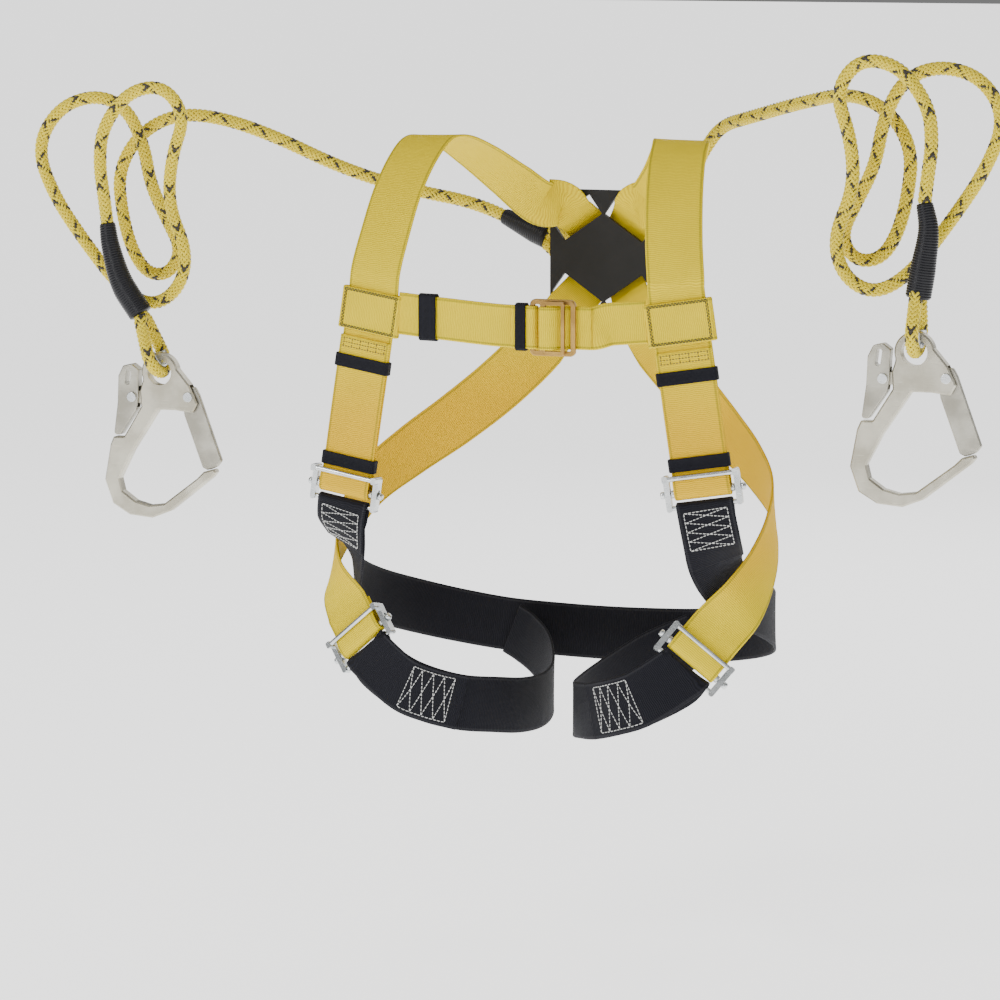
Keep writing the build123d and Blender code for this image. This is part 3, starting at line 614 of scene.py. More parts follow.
def spline_points(name, points):
    """Points in millimetres along a smooth NURBS line with the route's points as its controls."""
    curve = bpy.data.curves.new(name, "CURVE")
    curve.dimensions = "3D"
    spline = curve.splines.new("NURBS")
    spline.points.add(len(points) - 1)
    for control, point in zip(spline.points, points):
        control.co = (*(Vector(point) * MM), 1.0)
    spline.order_u = 3
    spline.use_endpoint_u = True
    spline.resolution_u = 12
    obj = bpy.data.objects.new(name, curve)
    bpy.context.collection.objects.link(obj)
    bpy.context.view_layer.update()
    depsgraph = bpy.context.evaluated_depsgraph_get()
    mesh = bpy.data.meshes.new_from_object(obj.evaluated_get(depsgraph))
    line = [vertex.co / MM for vertex in mesh.vertices]
    bpy.data.meshes.remove(mesh)
    bpy.data.objects.remove(obj)
    return line


def resample(line, step, closed=False):
    """Evenly spaced points along a line."""
    points = list(line) + ([line[0]] if closed else [])
    lengths = [0.0]
    for a, b in zip(points, points[1:]):
        lengths.append(lengths[-1] + (b - a).length)
    count = max(2, round(lengths[-1] / step))
    result, index = [], 0
    for k in range(count + (0 if closed else 1)):
        s = lengths[-1] * k / count
        while index < len(lengths) - 2 and lengths[index + 1] < s:
            index += 1
        share = (s - lengths[index]) / max(lengths[index + 1] - lengths[index], 1e-9)
        result.append(points[index].lerp(points[index + 1], share))
    return result, lengths[-1]


def carried_frames(points, closed=False):
    """(along, across, out) at each point, turned as little as possible from one to the next."""
    last = len(points) - 1
    frames = []
    side = None
    for index, point in enumerate(points):
        before = points[index - 1] if index or closed else point
        after = points[(index + 1) % len(points)] if index < last or closed else point
        along = (after - before).normalized()
        if side is None:
            side = along.cross(Vector((0.21, 0.13, 0.97))).normalized()
        side = (side - along * side.dot(along)).normalized()
        frames.append((along, side, along.cross(side)))
    return frames


STRANDS = 8  # carriers each way round
BRAID_PITCH = 38.0  # millimetres in which a carrier goes once round
BRAID_STEP = 1.7
TRACERS = ((1, 0), (-1, 3))  # hand and number of the dark yarns
YARN_RING = 6
CORE_RING = 12


def braid(name, line, closed=False):
    """Braided rope: sixteen flat yarns that pass over and under each other, on a smooth core."""
    radius = ROPE / 2
    points, total = resample(line, BRAID_STEP, closed)
    frames = carried_frames(points, closed)
    turns = max(1, round(total / BRAID_PITCH)) if closed else total / BRAID_PITCH
    # A closed rope's frame comes back turned; each ring is turned back by its share
    slip = 0.0
    if closed:
        along, side, out = frames[-1]
        first = frames[0][1] - frames[0][0] * frames[0][1].dot(frames[0][0])
        slip = atan2(first.dot(out), first.dot(side))
    count = len(points)
    vertices, uvs, faces, indices = [], [], [], []
    yarn_half, yarn_thick = radius * pi / STRANDS * 0.50, radius * 0.17
    mean = radius - yarn_thick * 1.15
    rows = count + 1 if closed else count
    for hand in (1, -1):
        for strand in range(STRANDS):
            base = len(vertices)
            for row in range(rows):
                index = row % count
                share = row / (rows - 1)
                angle = hand * 2 * pi * turns * share + 2 * pi * strand / STRANDS
                lift = cos(2 * pi * turns * share * STRANDS / 2 + pi * strand + (0 if hand == 1 else pi))
                along, side, out = frames[index]
                twist = angle + slip * share
                radial = side * cos(twist) + out * sin(twist)
                tangent = out * cos(twist) - side * sin(twist)
                run = (along + tangent * (hand * 2 * pi * mean / BRAID_PITCH)).normalized()
                flat = run.cross(radial).normalized()
                centre = points[index] + radial * (mean + lift * yarn_thick * 0.55)
                for k in range(YARN_RING):
                    turn = 2 * pi * k / YARN_RING
                    edge = flat * (cos(turn) * yarn_half)
                    vertices.append(centre + edge + radial * (sin(turn) * yarn_thick))
                    uvs.append((k / YARN_RING, share * total * UV_SCALE))
            faces += skin(rows, YARN_RING, base, capped=not closed)
            indices += [1 if (hand, strand) in TRACERS else 0] * ((rows - 1) * YARN_RING)
            indices += [0] * (len(faces) - len(indices))
    core = radius - yarn_thick * 2.2
    base = len(vertices)
    for row in range(rows):
        _, side, out = frames[row % count]
        for k in range(CORE_RING):
            turn = 2 * pi * k / CORE_RING
            vertices.append(points[row % count] + side * (cos(turn) * core) + out * (sin(turn) * core))
            uvs.append((k / CORE_RING, row / rows))
    faces += skin(rows, CORE_RING, base, capped=not closed)
    indices += [2] * (len(faces) - len(indices))
    obj = make_object(name, vertices, faces, [rope_yellow, rope_dark, rope_pale], uvs, indices)
    return obj, points, total


def tube(name, points, radii, material, ring):
    """A round piece along points, with its own radius at each."""
    frames = carried_frames(points)
    vertices, uvs = [], []
    for index, (point, radius) in enumerate(zip(points, radii)):
        _, side, out = frames[index]
        for k in range(ring):
            turn = 2 * pi * k / ring
            vertices.append(point + side * (cos(turn) * radius) + out * (sin(turn) * radius))
            uvs.append((k / ring, index / len(points)))
    return make_object(name, vertices, skin(len(points), ring), [material], uvs)


def smooth_line(points, step=1.0):
    """A smooth line through a few points, for the short sleeves."""
    points = [Vector(p) for p in points]
    times = spacing(points)
    line = []
    for index in range(len(points) - 1):
        count = ceil((points[index + 1] - points[index]).length / step)
        for k in range(count):
            t = times[index] + (times[index + 1] - times[index]) * k / count
            line.append(catmull(points, times, t, index))
    return line + [points[-1]]


SLEEVE_RADIUS = 11.5
SLEEVE_ROPE_RADIUS = 7.5
WHIPPING = 2.3  # pitch of the sleeve's turns, in millimetres
WHIPPING_DEPTH = 0.55
SLEEVE_EDGE = 2.2
SLEEVE_EDGE_DEPTH = 1.6


def whipped_sleeve(name, points):
    """Turns of black whipping over the splice, thick at the eye and tapered to the rope."""
    line, total = resample(smooth_line(points), 0.33)
    radii = []
    for index in range(len(line)):
        s = total * index / (len(line) - 1)
        share = min(1.0, 1.4 * s / total)
        radius = SLEEVE_ROPE_RADIUS + (SLEEVE_RADIUS - SLEEVE_ROPE_RADIUS) * share
        radius -= WHIPPING_DEPTH * (1 - abs(sin(pi * s / WHIPPING))) ** 1.5
        edge = min(s, total - s)
        if edge < SLEEVE_EDGE:
            radius -= SLEEVE_EDGE_DEPTH * (1 - edge / SLEEVE_EDGE) ** 2
        radii.append(radius)
    return tube(name, line, radii, sleeve_black, 32)


def eye_plane(saddle, axis, bearing):
    """Plane of a rope's eye, from its saddle, its axis and a direction across it."""
    return Flat(saddle + axis * EYE_RADIUS, bearing, bearing.cross(axis))


def eye_line(plane):
    """The teardrop round a rope's eye."""
    lean = (EYE_RADIUS - EYE_NECK_RADIUS) / EYE_NECK_HEIGHT
    tilt = atan2(lean, (1 - lean**2) ** 0.5)
    line = []
    for k in range(25):
        angle = tilt - (pi + 2 * tilt) * k / 24
        line.append(plane.at(EYE_RADIUS * cos(angle), EYE_RADIUS * sin(angle)))
    for k in range(13):
        angle = pi - tilt - (pi - 2 * tilt) * k / 12
        line.append(plane.at(EYE_NECK_RADIUS * cos(angle), EYE_NECK_HEIGHT + EYE_NECK_RADIUS * sin(angle)))
    return line


GROOVE_RADIUS = 6.12
THIMBLE_DEPTH, THIMBLE_HALF_WIDTH = 7.55, 7.0


def thimble(name, plane):
    """Half ring with a groove that the rope lies in."""
    arcs = 36
    groove = [radians(k * 11.6) for k in range(-5, 6)]
    profile = [(EYE_RADIUS - GROOVE_RADIUS * cos(a), GROOVE_RADIUS * sin(a)) for a in groove]
    for a in reversed(groove):
        profile.append((EYE_RADIUS - THIMBLE_DEPTH * cos(a), THIMBLE_HALF_WIDTH * sin(a)))
    vertices = []
    for row in range(arcs + 1):
        angle = radians(-192) + radians(204) * row / arcs
        direction = plane.x * cos(angle) + plane.y * sin(angle)
        for radial, level in profile:
            vertices.append(plane.origin + direction * radial + plane.z * level)
    return make_object(name, vertices, skin(arcs + 1, len(profile), flip=True), [zinc])


LANYARDS = {
    "left": {
        "ring_side": 1,
        "ring_axis": (0.443, 0.077, 0.893),
        "hook_sleeve": [(346, -30, -48), (350, -31, -72), (346, -31, -103), (341.5, -31, -131)],
        "hook_saddle": (340.0, -31.0, -178.0),
        "route": [
            (74, 167, -37.4), (83.6, 168.7, -18), (103, 160, 5), (138, 126, 14), (200, 82, 31),
            (257, 46, 43), (295, 40, 28), (317, 36, -5), (315, 33, -45), (306, 30, -82),
            (291, 28, -104), (268, 25, -105), (256, 23, -83), (271, 20, -53), (289, 17, -19),
            (296, 14, 20), (314, 10, 56), (348, 6, 70), (388, 3, 60), (410, 0, 25), (393, -2, -21),
            (361, -3, -68), (327, -3, -113), (295, -4, -132), (267, -6, -117), (258, -9, -83),
            (278, -12, -38), (275, -15, 6), (261, -18, 46), (283, -21, 76), (320, -24, 71),
            (348, -26, 36), (352, -29, 2), (348.5, -30, -24), (346, -30, -48),
        ],
    },
    "right": {
        "ring_side": -1,
        "ring_axis": (-0.92, 0.156, 0.36),
        "hook_sleeve": [(-435, -30, -86), (-431, -31, -109), (-420, -31, -142), (-401, -31, -170)],
        "hook_saddle": (-381.0, -31.0, -223.0),
        "route": [
            (-117, 174.2, -85.5), (-146.2, 179.1, -74.1), (-202, 152, -62), (-256, 110, -40),
            (-312, 76, -8), (-358, 52, 10), (-398, 42, 12), (-433, 38, -7), (-453, 34, -42),
            (-448, 31, -82), (-437, 29, -117), (-420, 27, -138), (-397, 25, -137), (-383, 23, -114),
            (-397, 20, -85), (-412, 17, -53), (-417, 14, -15), (-433, 10, 20), (-464, 6, 31),
            (-501, 3, 17), (-521, 0, -20), (-503, -2, -64), (-470, -3, -108), (-435, -3, -149),
            (-402, -4, -166), (-373, -6, -148), (-363, -9, -113), (-381, -12, -70), (-376, -15, -25),
            (-360, -18, 14), (-380, -21, 42), (-415, -24, 36), (-441, -26, 2), (-443, -29, -32),
            (-438, -30, -62), (-435, -30, -86),
        ],
    },
}
RING_LEG_X = 34.0
RING_EYE_Y = 160.0
EYE_TO_BOW = 2.0
RING_SLEEVE_SPAN = (88.0, 62.0, 37.0)

for word, lanyard in LANYARDS.items():
    ring_axis = Vector(lanyard["ring_axis"]).normalized()
    ring_level = Vector((0, 0, 1)).cross(ring_axis).normalized()
    bow = Vector((lanyard["ring_side"] * RING_LEG_X, RING_EYE_Y, PLATE_Z))
    ring_saddle = bow - ring_axis * (EYE_RADIUS - EYE_TO_BOW)
    ring_plane = eye_plane(ring_saddle, ring_axis, ring_axis.cross(ring_level))
    ring_points = [ring_plane.origin + ring_axis * distance for distance in RING_SLEEVE_SPAN]
    saddle = Vector(lanyard["hook_saddle"])
    hook_axis = (Vector(lanyard["hook_sleeve"][-1]) - saddle).normalized()
    hook_plane = eye_plane(saddle, hook_axis, Vector((0, 1, 0)))
    ends = (("ring", ring_plane, ring_points), ("hook", hook_plane, lanyard["hook_sleeve"]))
    for end, plane, points in ends:
        eye, _, _ = braid(f"{end}_eye_braid_{word}", eye_line(plane), closed=True)
        ride(eye, BODY_OF[f"{end}_eye_{word}"], "rope", f"{end}_eye_{word}")
        liner = thimble(f"{end}_thimble_grooved_{word}", plane)
        ride(liner, BODY_OF[f"{end}_thimble_{word}"], "zinc", f"{end}_thimble_{word}")
        cover = whipped_sleeve(f"{end}_sleeve_whipped_{word}", points)
        ride(cover, BODY_OF[f"{end}_sleeve_{word}"], "sleeve", f"{end}_sleeve_{word}")
        lanyard[f"{end}_pieces"] = [eye, liner, cover]
    line = spline_points(f"rope_line_{word}", lanyard["route"])
    rope, centre, total = braid(f"rope_braid_{word}", line)
    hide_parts(f"rope_{word}")
    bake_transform(rope)
    lanyard["cord"] = (rope, centre, total)

# --------------------
# Main webbing

KEEPER_WALL = 1.6
SHOULDER = [
    (141, -98, -116, 8, 8), (136, -88, -84, 8, 22), (130, -68, -46, 8, 40),
    (124, -42, -16, 6, 62), (119, -15, -1, 2, 88), (110, 14, -4, 180, 68),
    (96, 46, -20, 180, 48), (76, 78, -44, 180, 32), (54, 100, -66, 180, 20),
]
PLATE_ROWS = ((-62.0, 112.0), (-50.0, 120.0), (-39.0, 131.0))
PLATE_RISE = 3.4
BACK = [
    (58, 112, -200, 174, 0), (94, 102, -237, 162, 0), (132, 84, -270, 146, 0),
    (167, 60, -298, 126, 0), (193, 30, -324, 106, 0), (203, -4, -352, 88, 0),
    (203, -38, -379, 68, 0), (195, -67, -403, 46, 3),
]
TAIL = {1: 124.0, -1: 138.0}
LEG_TAIL = 30.0
CROSSING = (0.574, 0.819)  # across and down of the straps in the dorsal plate
PLATE_Y = 138.0
HEM = (2.5, 10.0)
HEM_ROWS = (-21.0, -12.6, -4.2, 4.2, 12.6, 21.0)


def main_stations(side):
    """Stations and widths from the torso tail's hem to the leg tail's hem on the other side."""
    torso, leg = front_plane(side, TORSO_Z[side]), leg_plane(-side)
    front = [(18.5, LAYER, 0), (13.5, FOLD_RISE, 0), (9.0, WRAP_RADIUS, 0)]
    wrap = front + turn_round(WRAP_RADIUS) + [(y, -z, 180) for y, z, _ in reversed(front)]
    rows = [(TAIL[side], LAYER, 0), (70.0, LAYER, 0)] + wrap
    rows += [(110.0, -LAYER, 180), (175.0, -LAYER, 180)]
    route = in_plane(torso, rows)
    for point, normal in on_side(side, SHOULDER):
        route.append((point - facing(side * 8) * LAYER if point.y < -80 else point, normal))
    first = len(route)
    direction = Vector((-side * CROSSING[0], 0, -CROSSING[1]))
    rise = PLATE_RISE if side < 0 else 0.0
    plate = list(PLATE_ROWS) + [(s, PLATE_Y + rise) for s in (-26.0, 0.0, 26.0)]
    plate += [(-s, y) for s, y in reversed(PLATE_ROWS)]
    for distance, y in plate:
        route.append((Vector((0, y, PLATE_Z)) + direction * distance, Vector((0, 1, 0))))
    last = len(route)
    route += on_side(-side, BACK)
    route += in_plane(leg, [(34.0, LAYER, 0)] + wrap + [(LEG_TAIL, -LAYER, 180)])
    widths = [PLATE_WIDTH if first <= k < last else STRAP_WIDTH for k in range(len(route))]
    return route, widths


def sewing(name, parts, thread, slot, body="root"):
    """One object for a group of stitches."""
    return ride(join_meshes(name, parts, thread), body, slot)


for word, side in SIDES.items():
    route, widths = main_stations(side)
    strap = Strap(route, STRAP_WIDTH, widths=widths)
    band = ribbon(f"main_webbing_woven_{word}", strap, yellow_webbing)
    ride(band, "root", "yellow_webbing", f"main_webbing_{word}")
    hems = []
    for u in HEM_ROWS:
        hems += stitch_line(strap, [(HEM[0], u), (HEM[1], u)], STITCH_FACE, 2.6)
    for s in (HEM[0], sum(HEM) / 2, HEM[1]):
        hems += stitch_line(strap, [(s, -22.5), (s, 22.5)], STITCH_FACE, 2.8)
    sewing(f"main_hem_stitches_{word}", hems, brown_thread, "yellow_webbing")
    fold = ribbon(f"main_hem_fold_{word}", strap, yellow_webbing, 1.9, 15.0, lift=-2.0)
    ride(fold, "root", "yellow_webbing")

# --------------------
# Black straps

SEAT = [
    (175, -95, -345, 12, 0), (175, -82, -366, 28, 0), (177, -62, -385, 46, 0),
    (184.5, -41, -400, 62, 0), (192.5, -15, -413, 80, 0), (195, 16, -425, 92, 0),
    (190, 50, -437, 108, 0), (172, 92, -451, 132, 0), (142, 119, -462, 154, 0),
    (98, 133, -470, 168, 0), (50, 138, -473, 176, 0),
]
LEG = [
    (113, -105, -487, 8, 4), (87, -102, -497, -8, 0), (62, -88, -505, -28, 0),
    (40, -62, -510, -50, 0), (25, -30, -515, -74, 0), (18, 8, -516, -90, 0),
    (22, 46, -511, -108, 0), (38, 80, -500, -134, 0), (56, 104, -489, -152, 0),
    (76, 121, -480, -166, 0), (92, 127, -473, -168, 0),
]


def sewn_loop(plane):
    """Over the loop rail from in front to behind."""
    rows = [(LOOP_RAIL_Y, LOOP_RADIUS, 0)]
    for angle in (45, 90, 135):
        y, z = LOOP_RADIUS * sin(radians(angle)), LOOP_RADIUS * cos(radians(angle))
        rows.append((LOOP_RAIL_Y + y, z, angle))
    rows += [(LOOP_RAIL_Y, -LOOP_RADIUS, 180), (LOOP_RAIL_Y - 12.0, -LAYER, 180)]
    return in_plane(plane, rows)


FLAP_RISE = 2.5


def flap(stations):
    """A doubled end: the same stations in reverse, lifted off the strap below."""
    return [(point + normal * FLAP_RISE, normal) for point, normal in reversed(stations)]


seat_left, seat_right = on_side(1, SEAT), on_side(-1, SEAT)
loop_left, loop_right = (sewn_loop(front_plane(side, TORSO_Z[side])) for side in (1, -1))
seat = flap(seat_left[:2]) + loop_left + seat_left
seat += [(Vector((0, 139.0, -474.0)), Vector((0, 1, 0)))]
seat += seat_right[::-1] + loop_right[::-1] + flap(seat_right[:2])[::-1]
seat_band = Strap(seat, STRAP_WIDTH)
ride(ribbon("seat_strap_woven", seat_band, black_webbing), "root", "black_webbing", "seat_strap")

for word, side in SIDES.items():
    stations = on_side(side, LEG)
    leg = flap(stations[:3]) + sewn_loop(leg_plane(side)) + stations
    band = Strap(leg, STRAP_WIDTH)
    ride(ribbon(f"leg_strap_woven_{word}", band, black_webbing), "root", "black_webbing", f"leg_strap_{word}")
    stitches = box_stitch(band, 12.0, 54.0, 20.5)
    sewing(f"leg_box_stitches_{word}", stitches, white_thread, "black_webbing")
for word, low in (("left", 20.0), ("right", seat_band.total - 38.0)):
    stitches = box_stitch(seat_band, low, low + 34.0, 19.5)
    sewing(f"seat_box_stitches_{word}", stitches, white_thread, "black_webbing")

# --------------------
# Keepers and chest strap loops: closed bands


def closed_band(name, plane, half_x, half_z, radius, height, thickness, material):
    """A flat ring of webbing or elastic round a strap: its wall's middle follows a rounded box."""
    outline = []
    corners = ((1, 1, 0), (-1, 1, 90), (-1, -1, 180), (1, -1, 270))
    for sx, sz, begin in corners:
        cx, cz = sx * (half_x - radius), sz * (half_z - radius)
        for k in range(7):
            angle = radians(begin + 15 * k)
            outline.append((cx + radius * cos(angle), cz + radius * sin(angle), angle))
    fine = []
    for (x0, z0, a0), (x1, z1, a1) in zip(outline, outline[1:] + outline[:1]):
        run = hypot(x1 - x0, z1 - z0)
        if a1 < a0:
            a1 += 2 * pi
        steps = max(1, ceil(run / 3.0))
        for k in range(steps):
            share = k / steps
            fine.append((x0 + (x1 - x0) * share, z0 + (z1 - z0) * share, a0 + (a1 - a0) * share))
    profile = strap_profile(height, thickness, 0.06)
    vertices, uvs = [], []
    s = 0.0
    rows = len(fine)
    for row in range(rows + 1):
        x, z, angle = fine[row % rows]
        if row:
            px, pz, _ = fine[row - 1]
            s += hypot(x - px, z - pz)
        for u, h in profile:
            vertices.append(plane.at(x + h * cos(angle), u, z + h * sin(angle)))
            uvs.append((u * UV_SCALE, s * UV_SCALE))
    faces = skin(rows + 1, len(profile), flip=True, capped=False)
    return make_object(name, vertices, faces, [material], uvs)


UPPER_KEEPER_Z = -200.0
LOWER_KEEPER_RISE = 24.7
KEEPER_GAP = 2 * LAYER + STRAP_THICKNESS + 0.8
KEEPER_HEIGHT = 12.0
for word, side in SIDES.items():
    for place, z in (("upper", UPPER_KEEPER_Z), ("lower", TORSO_Z[side] + LOWER_KEEPER_RISE)):
        node = f"{place}_keeper_{word}"
        half_x = (STRAP_WIDTH + 1 + KEEPER_WALL) / 2
        half_z = (KEEPER_GAP + KEEPER_WALL) / 2
        name, plane = f"{place}_keeper_elastic_{word}", front_plane(side, z)
        band = closed_band(name, plane, half_x, half_z, 2.4, KEEPER_HEIGHT, KEEPER_WALL, elastic)
        ride(band, BODY_OF[node], "elastic", node)

# Chest strap
BUCKLE = Flat((36.0, -121.0, BUCKLE_Z), (1, 0, 0), (0, -1, 0))
FRAME_LOOP_X = -19.0
FRAME_WRAP = 2.0 + 1.1 + STRAP_THICKNESS / 2
TONGUE_X, TONGUE_Z = -6.0, 6.5
TONGUE_WRAP = 2.0 + 0.35 + STRAP_THICKNESS / 2


def buckle_rows(rows):
    result = []
    for x, z, angle in rows:
        normal = BUCKLE.z * cos(radians(angle)) + BUCKLE.x * sin(radians(angle))
        result.append((BUCKLE.at(x, 0, z), normal))
    return result


def half_turn(x, z, radius, turn, normal_angle):
    """Rows round a bar of the buckle, on its far side along x if turn is 1 and its near one if -1."""
    rows = []
    for a in (45, 90, 135):
        rows.append((x + turn * radius * sin(radians(a)), z - radius * cos(radians(a)), normal_angle(a)))
    return rows


def chest_route(stations, rows):
    return [(Vector(point), facing(turn)) for *point, turn in stations] + buckle_rows(rows)


RIGHT_STATIONS = [
    (-116, -101.2, CHEST_Z, -14), (-100, -107.5, -153.5, -14), (-84, -112, -154.5, -11),
    (-64, -115.8, -155.5, -8), (-40, -119, -157, -4), (-16, -120.2, -158.5, 0),
]
right_rows = [(-36, -1.8, 180), (-26, -2, 180), (FRAME_LOOP_X, -FRAME_WRAP, 180)]
right_rows += half_turn(FRAME_LOOP_X, 0.0, FRAME_WRAP, 1, lambda a: 180 - a)
right_rows += [(FRAME_LOOP_X, FRAME_WRAP, 0), (-26, 2, 0), (-38, 1.6, 0)]
LEFT_STATIONS = [
    (116, -101.2, CHEST_Z, 14), (100, -107, -154, 14), (84, -110.5, -155.5, 10),
]
left_rows = [(36, -6.6, 0), (25, -6.8, 0), (18, -6.6, 0), (11, -4.6, -20), (5, -1, -35)]
left_rows += [(-0.5, 2.2, -20), (TONGUE_X, TONGUE_Z - TONGUE_WRAP, 0)]
left_rows += half_turn(TONGUE_X, TONGUE_Z, TONGUE_WRAP, -1, lambda a: a)
left_rows += [(TONGUE_X, TONGUE_Z + TONGUE_WRAP, 180), (-0.8, 9.2, 200), (3.6, 6.2, 220)]
left_rows += [(7, 2.3, 222), (11.5, -0.9, 205), (18.5, -3.9, 190), (25, -4.1, 180), (34, -3.9, 180)]
LOOP_INNER_WIDTH = STRAP_WIDTH + 6.0
LOOP_INNER_GAP = STRAP_THICKNESS + 1.8
for word, stations, rows in (("left", LEFT_STATIONS, left_rows), ("right", RIGHT_STATIONS, right_rows)):
    node, side, route = f"chest_strap_{word}", SIDES[word], chest_route(stations, rows)
    band = ribbon(f"{node}_woven", Strap(route, CHEST_WIDTH, 1.6), chest_webbing)
    ride(band, BODY_OF[node], "yellow_webbing", node)
    plane = front_plane(side, CHEST_Z)
    plane.origin = plane.origin - plane.z * LAYER
    half_x = (LOOP_INNER_WIDTH + STRAP_THICKNESS) / 2
    half_z = (LOOP_INNER_GAP + STRAP_THICKNESS) / 2
    loop = closed_band(
        f"{node}_loop", plane, half_x, half_z, 2.6, CHEST_WIDTH, STRAP_THICKNESS, chest_webbing
    )
    ride(loop, BODY_OF[node], "yellow_webbing")
    front = half_z + STRAP_THICKNESS / 2 + 0.1
    panel = Strap([(plane.at(x, 0, 0), plane.z) for x in (-half_x, 0, half_x)], CHEST_WIDTH, 8.0)
    flip = 1 if (panel.at(1, 0, 1) - panel.at(1)).dot(plane.z) > 0 else -1
    outline = []
    for inset in (1.6, 3.0):
        low, high, edge = inset + 1.2, panel.total - inset - 1.2, CHEST_WIDTH / 2 - inset
        corners = [(low, -edge), (high, -edge), (high, edge), (low, edge), (low, -edge)]
        outline += stitch_line(panel, corners, flip * front, 3.0, 0.35, 0.5)
    sewing(f"{node}_loop_stitches", outline, dark_thread, "yellow_webbing", BODY_OF[node])

outer_plane = Flat((-84.0, -112.0, -154.5), (0, 0, 1), facing(-11))
inner_plane = Flat((7.0, -121.0, BUCKLE_Z), (0, 0, 1), facing(0))
for node, plane, gap, height in (
    ("chest_keeper_outer", outer_plane, STRAP_THICKNESS + 2.4, 18.0),
    ("chest_keeper_inner", inner_plane, 2 * STRAP_THICKNESS + 3.4, 10.0),
):
    half_x, half_z = (CHEST_WIDTH + 1 + KEEPER_WALL) / 2, (gap + KEEPER_WALL) / 2
    band = closed_band(f"{node}_elastic", plane, half_x, half_z, 2.2, height, KEEPER_WALL, elastic)
    ride(band, BODY_OF[node], "elastic", node)

# --------------------
# Metal and plastic pieces


SHARP, SMOOTH = radians(38.0), radians(32.0)  # edges that are rolled over, and faces shaded as one


def eased(node, material, slot, width):
    """A hardware piece from its CAD shape, with its sharp edges rolled over."""
    source = frame["nodes"][node]
    mesh = source.data.copy()
    mesh.name = f"{node}_eased"
    work = bmesh.new()
    work.from_mesh(mesh)
    bmesh.ops.remove_doubles(work, verts=work.verts, dist=2e-6)
    bmesh.ops.dissolve_limit(work, angle_limit=radians(0.6), verts=work.verts, edges=work.edges)
    sharp = [e for e in work.edges if len(e.link_faces) == 2 and e.calc_face_angle(0) > SHARP]
    bmesh.ops.bevel(
        work, geom=sharp, offset=width * MM, offset_type="OFFSET", segments=3, profile=0.5,
        affect="EDGES", clamp_overlap=True, loop_slide=True,
    )
    for face in work.faces:
        face.smooth = True
    for edge in work.edges:
        edge.smooth = not (len(edge.link_faces) == 2 and edge.calc_face_angle(0) > SMOOTH)
    work.to_mesh(mesh)
    work.free()
    if mesh.has_custom_normals:
        mesh.normals_split_custom_set([(0, 0, 0)] * len(mesh.loops))
    mesh.materials.clear()
    mesh.materials.append(material)
    obj = bpy.data.objects.new(f"{node}_eased", mesh)
    bpy.context.collection.objects.link(obj)
    modifier = obj.modifiers.new("normals", "WEIGHTED_NORMAL")
    modifier.keep_sharp = True
    modifier.weight = 60
    return ride(obj, BODY_OF[node], slot, node)


KNURLS, KNURL_TWIST, KNURL_DEPTH = 9, 1.55, 0.42
BAR_RING = 72
BARREL_STEP = 0.3


def knurled_bar(name, plane):
    """The slide bar: a diamond-knurled barrel, plain pins and a rounded head at each end."""
    ends = [(-38.5, 0.3), (-38.35, 1.9), (-37.9, 2.7), (-37.0, 3.15), (-34.9, 3.15), (-34.4, 2.7)]
    ends += [(-34.35, 1.5), (-28.45, 1.5), (-28.4, 2.9), (-28.0, 3.4)]
    rows = [(x, r, False) for x, r in ends]
    rows += [(-27.6 + BARREL_STEP * k, BAR_RADIUS, True) for k in range(185)]
    rows += [(-x, r, False) for x, r in reversed(ends)]
    vertices = []
    for x, radius, knurl in rows:
        for k in range(BAR_RING):
            turn = 2 * pi * k / BAR_RING
            r = radius
            if knurl:
                a = abs(sin(turn * KNURLS + x * KNURL_TWIST))
                b = abs(sin(turn * KNURLS - x * KNURL_TWIST))
                r -= KNURL_DEPTH * (1 - min(a, b) ** 0.7)
            vertices.append(plane.at(x, r * cos(turn), r * sin(turn)))
    faces = skin(len(rows), BAR_RING)
    return make_object(name, vertices, faces, [zinc])


for word, side in SIDES.items():
    for place, plane in (("torso", front_plane(side, TORSO_Z[side])), ("leg", leg_plane(side))):
        eased(f"{place}_adjuster_frame_{word}", zinc, "zinc", 0.7)
        node = f"{place}_slide_bar_{word}"
        ride(knurled_bar(f"{node}_knurled", plane), BODY_OF[node], "zinc", node)
eased("chest_buckle_frame", gold, "gold_finish", 0.5)
eased("chest_buckle_tongue", gold, "gold_finish", 0.4)
eased("dorsal_plate", black_plastic, "black_plastic", 0.7)
eased("d_ring", zinc, "zinc", 0.4)

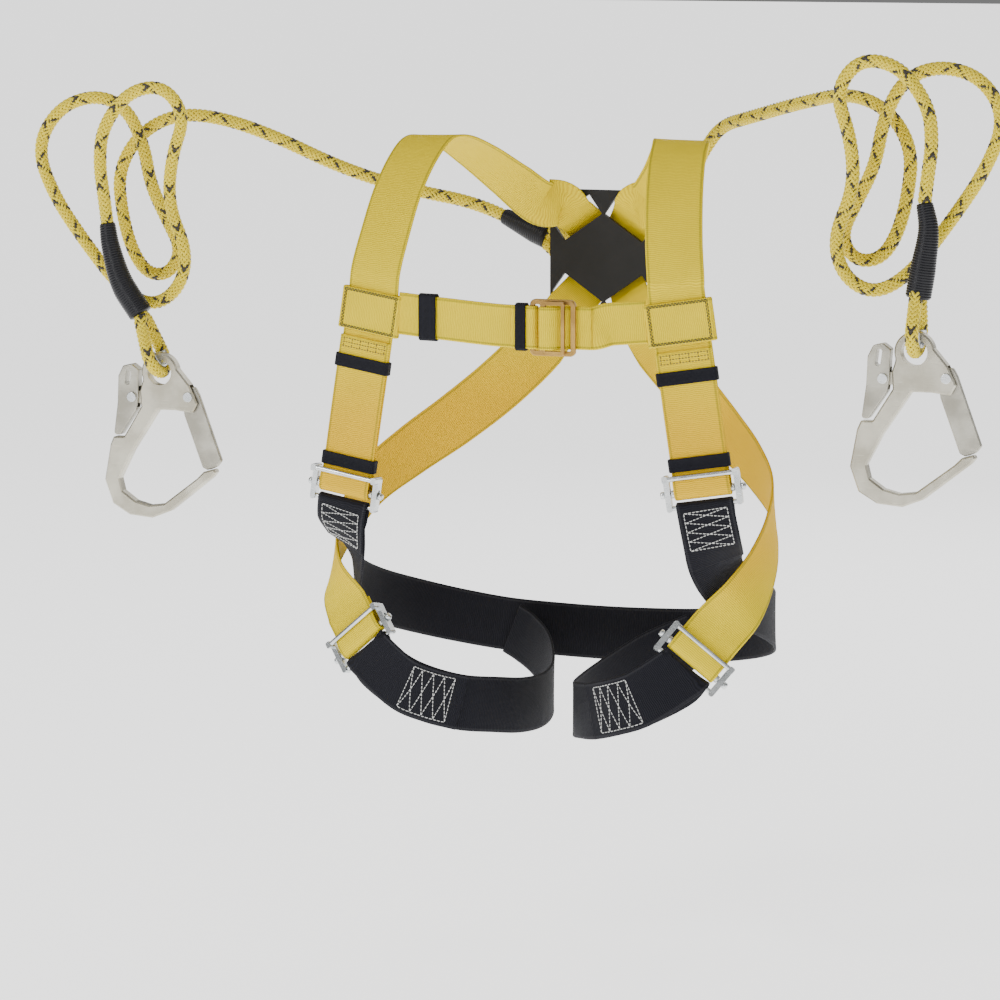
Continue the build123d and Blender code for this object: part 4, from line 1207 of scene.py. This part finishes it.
GATE_PIVOT = (29.0, -22.0)
COIL_RADIUS, COIL_WIRE = 4.0, 0.28
COIL_BASE, COIL_HEIGHT = 1.95, 1.3
COIL_STEPS = 96  # four turns
for word, lanyard in LANYARDS.items():
    eased(f"hook_body_{word}", hook_zinc, "hook_zinc", 0.8)
    eased(f"hook_gate_{word}", gate_zinc, "hook_zinc", 0.4)
    eased(f"hook_lever_{word}", gate_zinc, "hook_zinc", 0.4)
    eased(f"hook_rivets_{word}", zinc, "zinc", 0.5)
    saddle = Vector(lanyard["hook_saddle"])
    plane = Flat(saddle, (1, 0, 0), (0, -1, 0))
    coil = []
    for k in range(COIL_STEPS + 1):
        turn = 2 * pi * k / 24
        x, y = GATE_PIVOT[0] + COIL_RADIUS * cos(turn), GATE_PIVOT[1] + COIL_RADIUS * sin(turn)
        coil.append(plane.at(x, y, COIL_BASE + COIL_HEIGHT * k / COIL_STEPS))
    spring = tube(f"hook_gate_spring_coil_{word}", coil, [COIL_WIRE] * len(coil), zinc, 8)
    ride(spring, BODY_OF[f"hook_gate_spring_{word}"], "zinc", f"hook_gate_spring_{word}")
    rope, centre, total = lanyard["cord"]

# --------------------
# Floor, light and world

FLOOR_Z = -0.75  # metres, as is everything below
FLOOR_HALF = 30.0
MIDDLE = (0.0, 0.0, -0.25)  # where the lights point
WORLD_STRENGTH = 0.2


def add_floor():
    mesh = bpy.data.meshes.new("floor")
    corners = ((-1, -1), (1, -1), (1, 1), (-1, 1))
    mesh.from_pydata([(x * FLOOR_HALF, y * FLOOR_HALF, FLOOR_Z) for x, y in corners], [], [(0, 1, 2, 3)])
    n = Nodes("floor_paper")
    n.shader.inputs["Base Color"].default_value = (0.93, 0.93, 0.93, 1)
    n.shader.inputs["Emission Color"].default_value = (1, 1, 1, 1)
    n.shader.inputs["Emission Strength"].default_value = 1.6
    n.shader.inputs["Roughness"].default_value = 0.9
    mesh.materials.append(n.material)
    floor = bpy.data.objects.new("floor", mesh)
    bpy.context.collection.objects.link(floor)


def area_light(name, location, size, watts):
    data = bpy.data.lights.new(name, "AREA")
    data.shape = "RECTANGLE"
    data.size, data.size_y = size
    data.energy = watts
    light = bpy.data.objects.new(name, data)
    light.location = location
    light.rotation_euler = (Vector(MIDDLE) - Vector(location)).to_track_quat("-Z", "Y").to_euler()
    bpy.context.collection.objects.link(light)


add_floor()
area_light("key", (-1.6, -2.6, 1.7), (1.2, 1.2), 58)
area_light("fill", (2.4, -2.0, 0.6), (2.0, 2.0), 14)
area_light("top", (0.0, 0.4, 2.4), (2.4, 2.4), 22)
area_light("rim", (0.3, 2.6, 0.8), (2.4, 1.6), 20)
world = bpy.data.worlds.new("studio")
world.use_nodes = True
world.node_tree.nodes["Background"].inputs[0].default_value = (1, 1, 1, 1)
world.node_tree.nodes["Background"].inputs[1].default_value = WORLD_STRENGTH
bpy.context.scene.world = world
